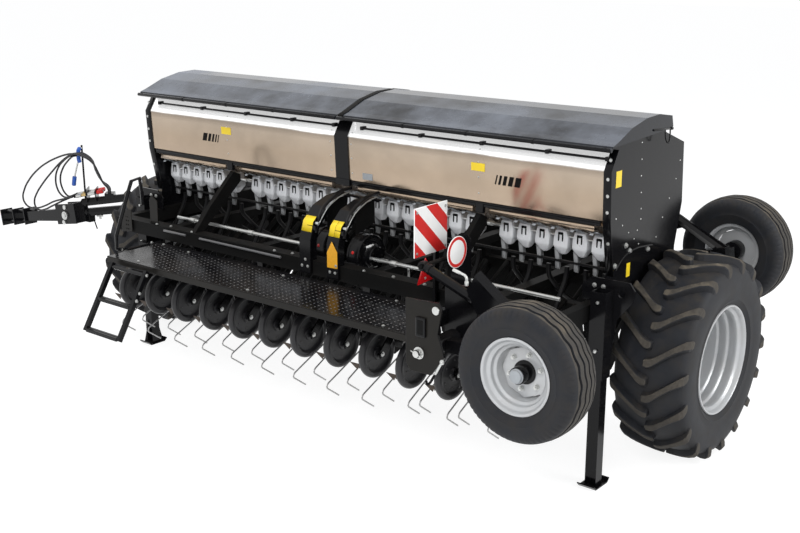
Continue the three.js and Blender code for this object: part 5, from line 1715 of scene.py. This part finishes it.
# %% Disc, ring and triangle
DISC_X, DISC_Y, DISC_Z = 1296, -844, 1417
disc = smooth(rod((DISC_X, DISC_Y, DISC_Z), (DISC_X + 4, DISC_Y, DISC_Z), 98, 56, 1), 40)
disc.name = "sign_disc"
dress(disc, WHITE, "frame", slot="sign")
ring = spun([(74, 0), (93, 0), (93, 0.9), (74, 0.9)], (DISC_X + 3.9, DISC_Y, DISC_Z), steps=64,
            name="sign_ring")
dress(ring, RED, "frame", slot="sign")
REFLECTOR = finish("reflector_red", (0.42, 0.006, 0.008), dust=(0.2, 0.03, 0.03), amount=0.1, gloss=0.22,
                   mottle=0.5, mottle_scale=200, bump=0.4, coat_weight=0.6)
triangle = plate([(-1058, 1232), (-880, 1242), (-978, 1386)], "x", 1159, 1167, 1.5, name="sign_triangle")
dress(triangle, REFLECTOR, "frame", slot="sign")

# %% Posts and bolts of the signs
ARCH_STEPS, ARCH_RADIUS = 12, 105
posts = [
    block((1140, 1158), (-875, -835), (1080, 1690), 2), block((1140, 1158), (-860, -822), (1080, 1140), 2),
    block((1150, 1158), (-1010, -860), (1300, 1315), 1),
]
turns = [k * math.pi / ARCH_STEPS for k in range(ARCH_STEPS + 1)]
arch = [(-795 - ARCH_RADIUS * math.cos(a), 1420 + ARCH_RADIUS * math.sin(a)) for a in turns]
posts.append(plate([(-900, 1152)] + arch + [(-690, 1152)], "x", 1290, 1296, 1.5))
dress(joined(posts, "sign_posts"), BLACK, "frame", slot="black")
places = [(-1066, 1428), (-1066, 1676), (-790, 1428), (-790, 1676), (-985, 1262), (-975, 1330)]
heads = copies(hex_bolt(6.5, 3.5), [facing((1166.6, y, z), (1, 0, 0), y) for y, z in places], "sign_bolts")
dress(heads, ZINC, "frame", slot="zinc")
# %% [markdown]
# The transport wheels hang on swinging arms between pairs of plates. The plates show their pins, a rounded
# tube end and a castle nut; the arm's cylinder has end rings and a hose union.


# %% Bracket hardware
FACE_LINE = [
    (1371, 1287), (1600, 1296), (1627, 1262), (1598, 1111), (1645, 987), (1555, 865), (1405, 859), (1374, 900),
]


def bracket_hardware(word, y, outward):
    """Tube end, pins, castle nut and face of a bracket whose outer plate stands at y."""
    tube_end = block((1451, 1521), sorted((y, y + outward * 14)), (1079, 1196), 9)
    dress(joined([tube_end], "ring"), BLACK, "frame", slot="black").name = f"bracket_tube_{word}"
    tube_face = block((1466, 1506), sorted((y + outward * 10, y + outward * 16)), (1094, 1181), 4)
    dress(joined([tube_face], f"bracket_tube_face_{word}"), DEEP, "frame", slot="black")
    parts = [smooth(rod((1588, y - outward * 4, 1252), (1588, y + outward * 8, 1252), 24, 32, 2), 40),
             smooth(rod((1470, y, 980), (1470, y + outward * 5, 980), 36, 32, 1), 40),
             rod((1470, y + outward * 4, 980), (1470, y + outward * 22, 980), 28, 6, 3),
             smooth(rod((1470, y + outward * 18, 980), (1470, y + outward * 34, 980), 21, 20, 2), 40),
             smooth(rod((1432, y + outward * 26, 992), (1508, y + outward * 26, 968), 3.5, 8), 50)]
    dress(joined(parts, f"bracket_pins_{word}"), ZINC, "frame", slot="zinc")
    face = plate(FACE_LINE, "y", *sorted((y, y - outward * 14)), 4, name=f"bracket_face_{word}")
    dress(face, EDGE, "frame", slot="black")


bracket_hardware("rear", -1431, -1)
bracket_hardware("front", 1391, 1)

# %% Lock rod
hook = [smooth(rod((1636, -1440, 962), (1590, -1440, 880), 7, 14, 1), 50),
        smooth(rod((1641, -1446, 972), (1633, -1430, 956), 12, 14, 2), 50)]
dress(joined(hook, "lock_rod_upper"), ZINC, "frame", slot="zinc")
HOOK_LINE = [(1592, -1440, 884), (1556, -1440, 822), (1536, -1440, 806), (1530, -1440, 830)]
dress(smooth(tube(HOOK_LINE, 7.5, bend=14), 50), DEEP, "frame", slot="black").name = "lock_rod_lower"

# %% [markdown]
# A cylinder barrel lies at a slant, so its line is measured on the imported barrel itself: from its foot pin to
# its far end. The rings and the union are then placed along that line and ride on the barrel.


# %% Cylinder rings and unions
BARREL_FOOT_X, BARREL_FOOT_Z = 1250, 1380
FITTING = finish("bright_fitting", (0.70, 0.71, 0.69), dust=(0.4, 0.34, 0.2), amount=0.15, gloss=0.3,
                 metallic=0.6)


def cylinder_hardware(word):
    """A gland nut, an end ring and a hose union on one cylinder barrel."""
    low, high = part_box(f"cylinder_barrel_{word}")
    y = ((low.y + high.y) / 2 - MIDDLE.y) * 1000
    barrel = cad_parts[f"cylinder_barrel_{word}"]
    far = max((v.co for v in barrel.data.vertices), key=lambda c: c.x)
    start = Vector((BARREL_FOOT_X, y, BARREL_FOOT_Z))
    reach = Vector(((far.x - MIDDLE.x) * 1000, y, far.z * 1000)) - start
    slope, along = reach.normalized(), reach.length
    rings = [smooth(rod(start + slope * 44, start + slope * 60, 33, 28, 2), 40),
             smooth(rod(start + slope * (along - 34), start + slope * (along - 2), 35, 28, 3), 40)]
    dress(joined(rings, f"cylinder_rings_{word}"), BLACK, f"cylinder_barrel_{word}", slot="black")
    port = start + slope * (along - 70)
    elbow = [port + Vector(step) for step in ((0, 0, 46), (0, 0, 82), (-60, 0, 96))]
    union = [smooth(rod(port + Vector((0, 0, 26)), port + Vector((0, 0, 52)), 13, 6, 2), 30),
             smooth(tube(elbow, 8, bend=22), 50),
             smooth(rod(port + Vector((-44, 0, 92)), port + Vector((-96, 0, 104)), 11, 6, 2), 30)]
    dress(joined(union, f"cylinder_union_{word}"), FITTING, f"cylinder_barrel_{word}", slot="zinc")


cylinder_hardware("rear")
cylinder_hardware("front")

# %% [markdown]
# Each parking stand is a square leg in a sleeve. Pins and bolts hold the sleeve's plate, and a web stiffens
# the foot of the left one.

# %% Stand hardware
STAND_BOLTS = [(2010, 1250), (2070, 1250), (2010, 1120), (2075, 960), (2075, 905), (2120, 1150)]
SLEEVE_BOLT_X = 2075
for word, sign in (("left", -1), ("right", 1)):
    heads = copies(hex_bolt(11, 9), [
        facing((sign * x, -434 if x == SLEEVE_BOLT_X else -433, z), (0, -1, 0), x) for x, z in STAND_BOLTS
    ], f"stand_plate_bolts_{word}")
    dress(heads, ZINC, "frame", slot="zinc")
    pins = [smooth(rod((sign * 2092, -548, 880), (sign * 2092, -418, 880), 11, 18, 2), 50),
            smooth(rod((sign * 2092, -545, 1180), (sign * 2092, -420, 1180), 9, 16, 2), 50)]
    dress(joined(pins, f"stand_pins_{word}"), ZINC, "frame", slot="zinc")
webs = [plate([(-521, 210), (-571, 32), (-521, 32)], "x", -2096, -2088, 1.5),
        plate([(-445, 210), (-395, 32), (-445, 32)], "x", -2096, -2088, 1.5)]
dress(joined(webs, "stand_foot_webs"), BLACK, "stand_left", slot="black")
# %% [markdown]
# At the far left the drawbar carries what a tractor driver handles: the pivot pin, the ring hitch and its
# bolts, two pairs of oil couplings with red caps, and a valve whose blue handles hang on the hose post.

# %% Pivot pin and box bolts
PIN_X, PIN_Z = -3800, 765
shiny = [
    smooth(rod((PIN_X, -96, PIN_Z), (PIN_X, -78, PIN_Z), 40, 30, 2), 40),
    rod((PIN_X, -106, PIN_Z), (PIN_X, -92, PIN_Z), 26, 6, 3),
    smooth(rod((PIN_X, 78, PIN_Z), (PIN_X, 96, PIN_Z), 40, 30, 2), 40),
]
for z in (-69, 78):
    x = PIN_X - 12 + z * 0.16
    shiny.append(smooth(rod((x, -92, PIN_Z + z), (x, -76, PIN_Z + z), 22, 20, 2), 40))
dress(joined(shiny, "drawbar_pins"), ZINC, "frame", slot="zinc")

# %% [markdown]
# The couplings lie along the boom, which runs off at an angle. A second helper gives places in the boom's own
# directions, so that a coupling is still placed with plain numbers: how far up the boom and how far aside.

# %% Couplings and caps
BOOM_TURN = math.atan2(1115, 1160)


def on_boom(u, v, z):
    """A place beside the boom: u up along it from the pin, v to its left."""
    return (PIN_X + u * math.cos(BOOM_TURN) - v * math.sin(BOOM_TURN),
            20 + u * math.sin(BOOM_TURN) + v * math.cos(BOOM_TURN), z)


def on_coupling(u, v):
    """A place on the rising axis of a coupling."""
    return on_boom(u, v, 942 + (u - 21) * 44 / 254)


bodies, brass, caps = [], [], []
for v in (-74, -46, 24, 52):
    bodies.append(rod(on_coupling(40, v), on_coupling(88, v), 16, 6, 2))
    bodies.append(smooth(rod(on_coupling(150, v), on_coupling(214, v), 17, 18, 2), 40))
    brass.append(smooth(rod(on_coupling(92, v), on_coupling(132, v), 15, 18, 2), 40))
    caps.append(smooth(rod(on_coupling(232, v), on_coupling(292, v), 18, 18, 4), 40))
dress(joined(bodies, "coupling_bodies"), ZINC, "frame", slot="zinc")
dress(joined(brass, "coupling_sleeves"), BRASS, "frame", slot="zinc")
dress(joined(caps, "coupling_caps"), RED, "frame", slot="rubber")

# %% Valve handles on the post
handles = [
    smooth(tube([(-3700, 62, 1394), (-3694, 40, 1376), (-3694, 38, 1296), (-3700, 50, 1268)], 19,
                bend=12), 50),
    smooth(rod((-3752, 20, 1128), (-3770, 16, 1040), 20, 14, 6), 50),
]
dress(joined(handles, "valve_handles"), BLUE, "frame", slot="rubber")
links = [smooth(tube([(-3706, 40, 1276), (-3728, 28, 1200), (-3752, 20, 1124)], 8, bend=20), 50),
         smooth(rod((-3700, 85, 1392), (-3700, 60, 1398), 10, 14, 2), 50)]
dress(joined(links, "valve_links"), ZINC, "frame", slot="zinc")

# %% Block and clamp pins under the boom
under = [block((-3736, -3662), (82, 154), (686, 760), 6),
         smooth(rod((-3672, 146, 692), (-3656, 160, 612), 6, 10, 1), 50)]
dress(joined(under, "boom_stop_block"), DEEP, "frame", slot="black")
pins = [smooth(rod(on_boom(205, 0, 738), on_boom(265, 0, 742), 14, 14, 2), 50),
        smooth(rod(on_boom(240, -8, 708), on_boom(240, -8, 760), 11, 14, 2), 50)]
dress(joined(pins, "boom_clamp_pins"), ZINC, "frame", slot="zinc")
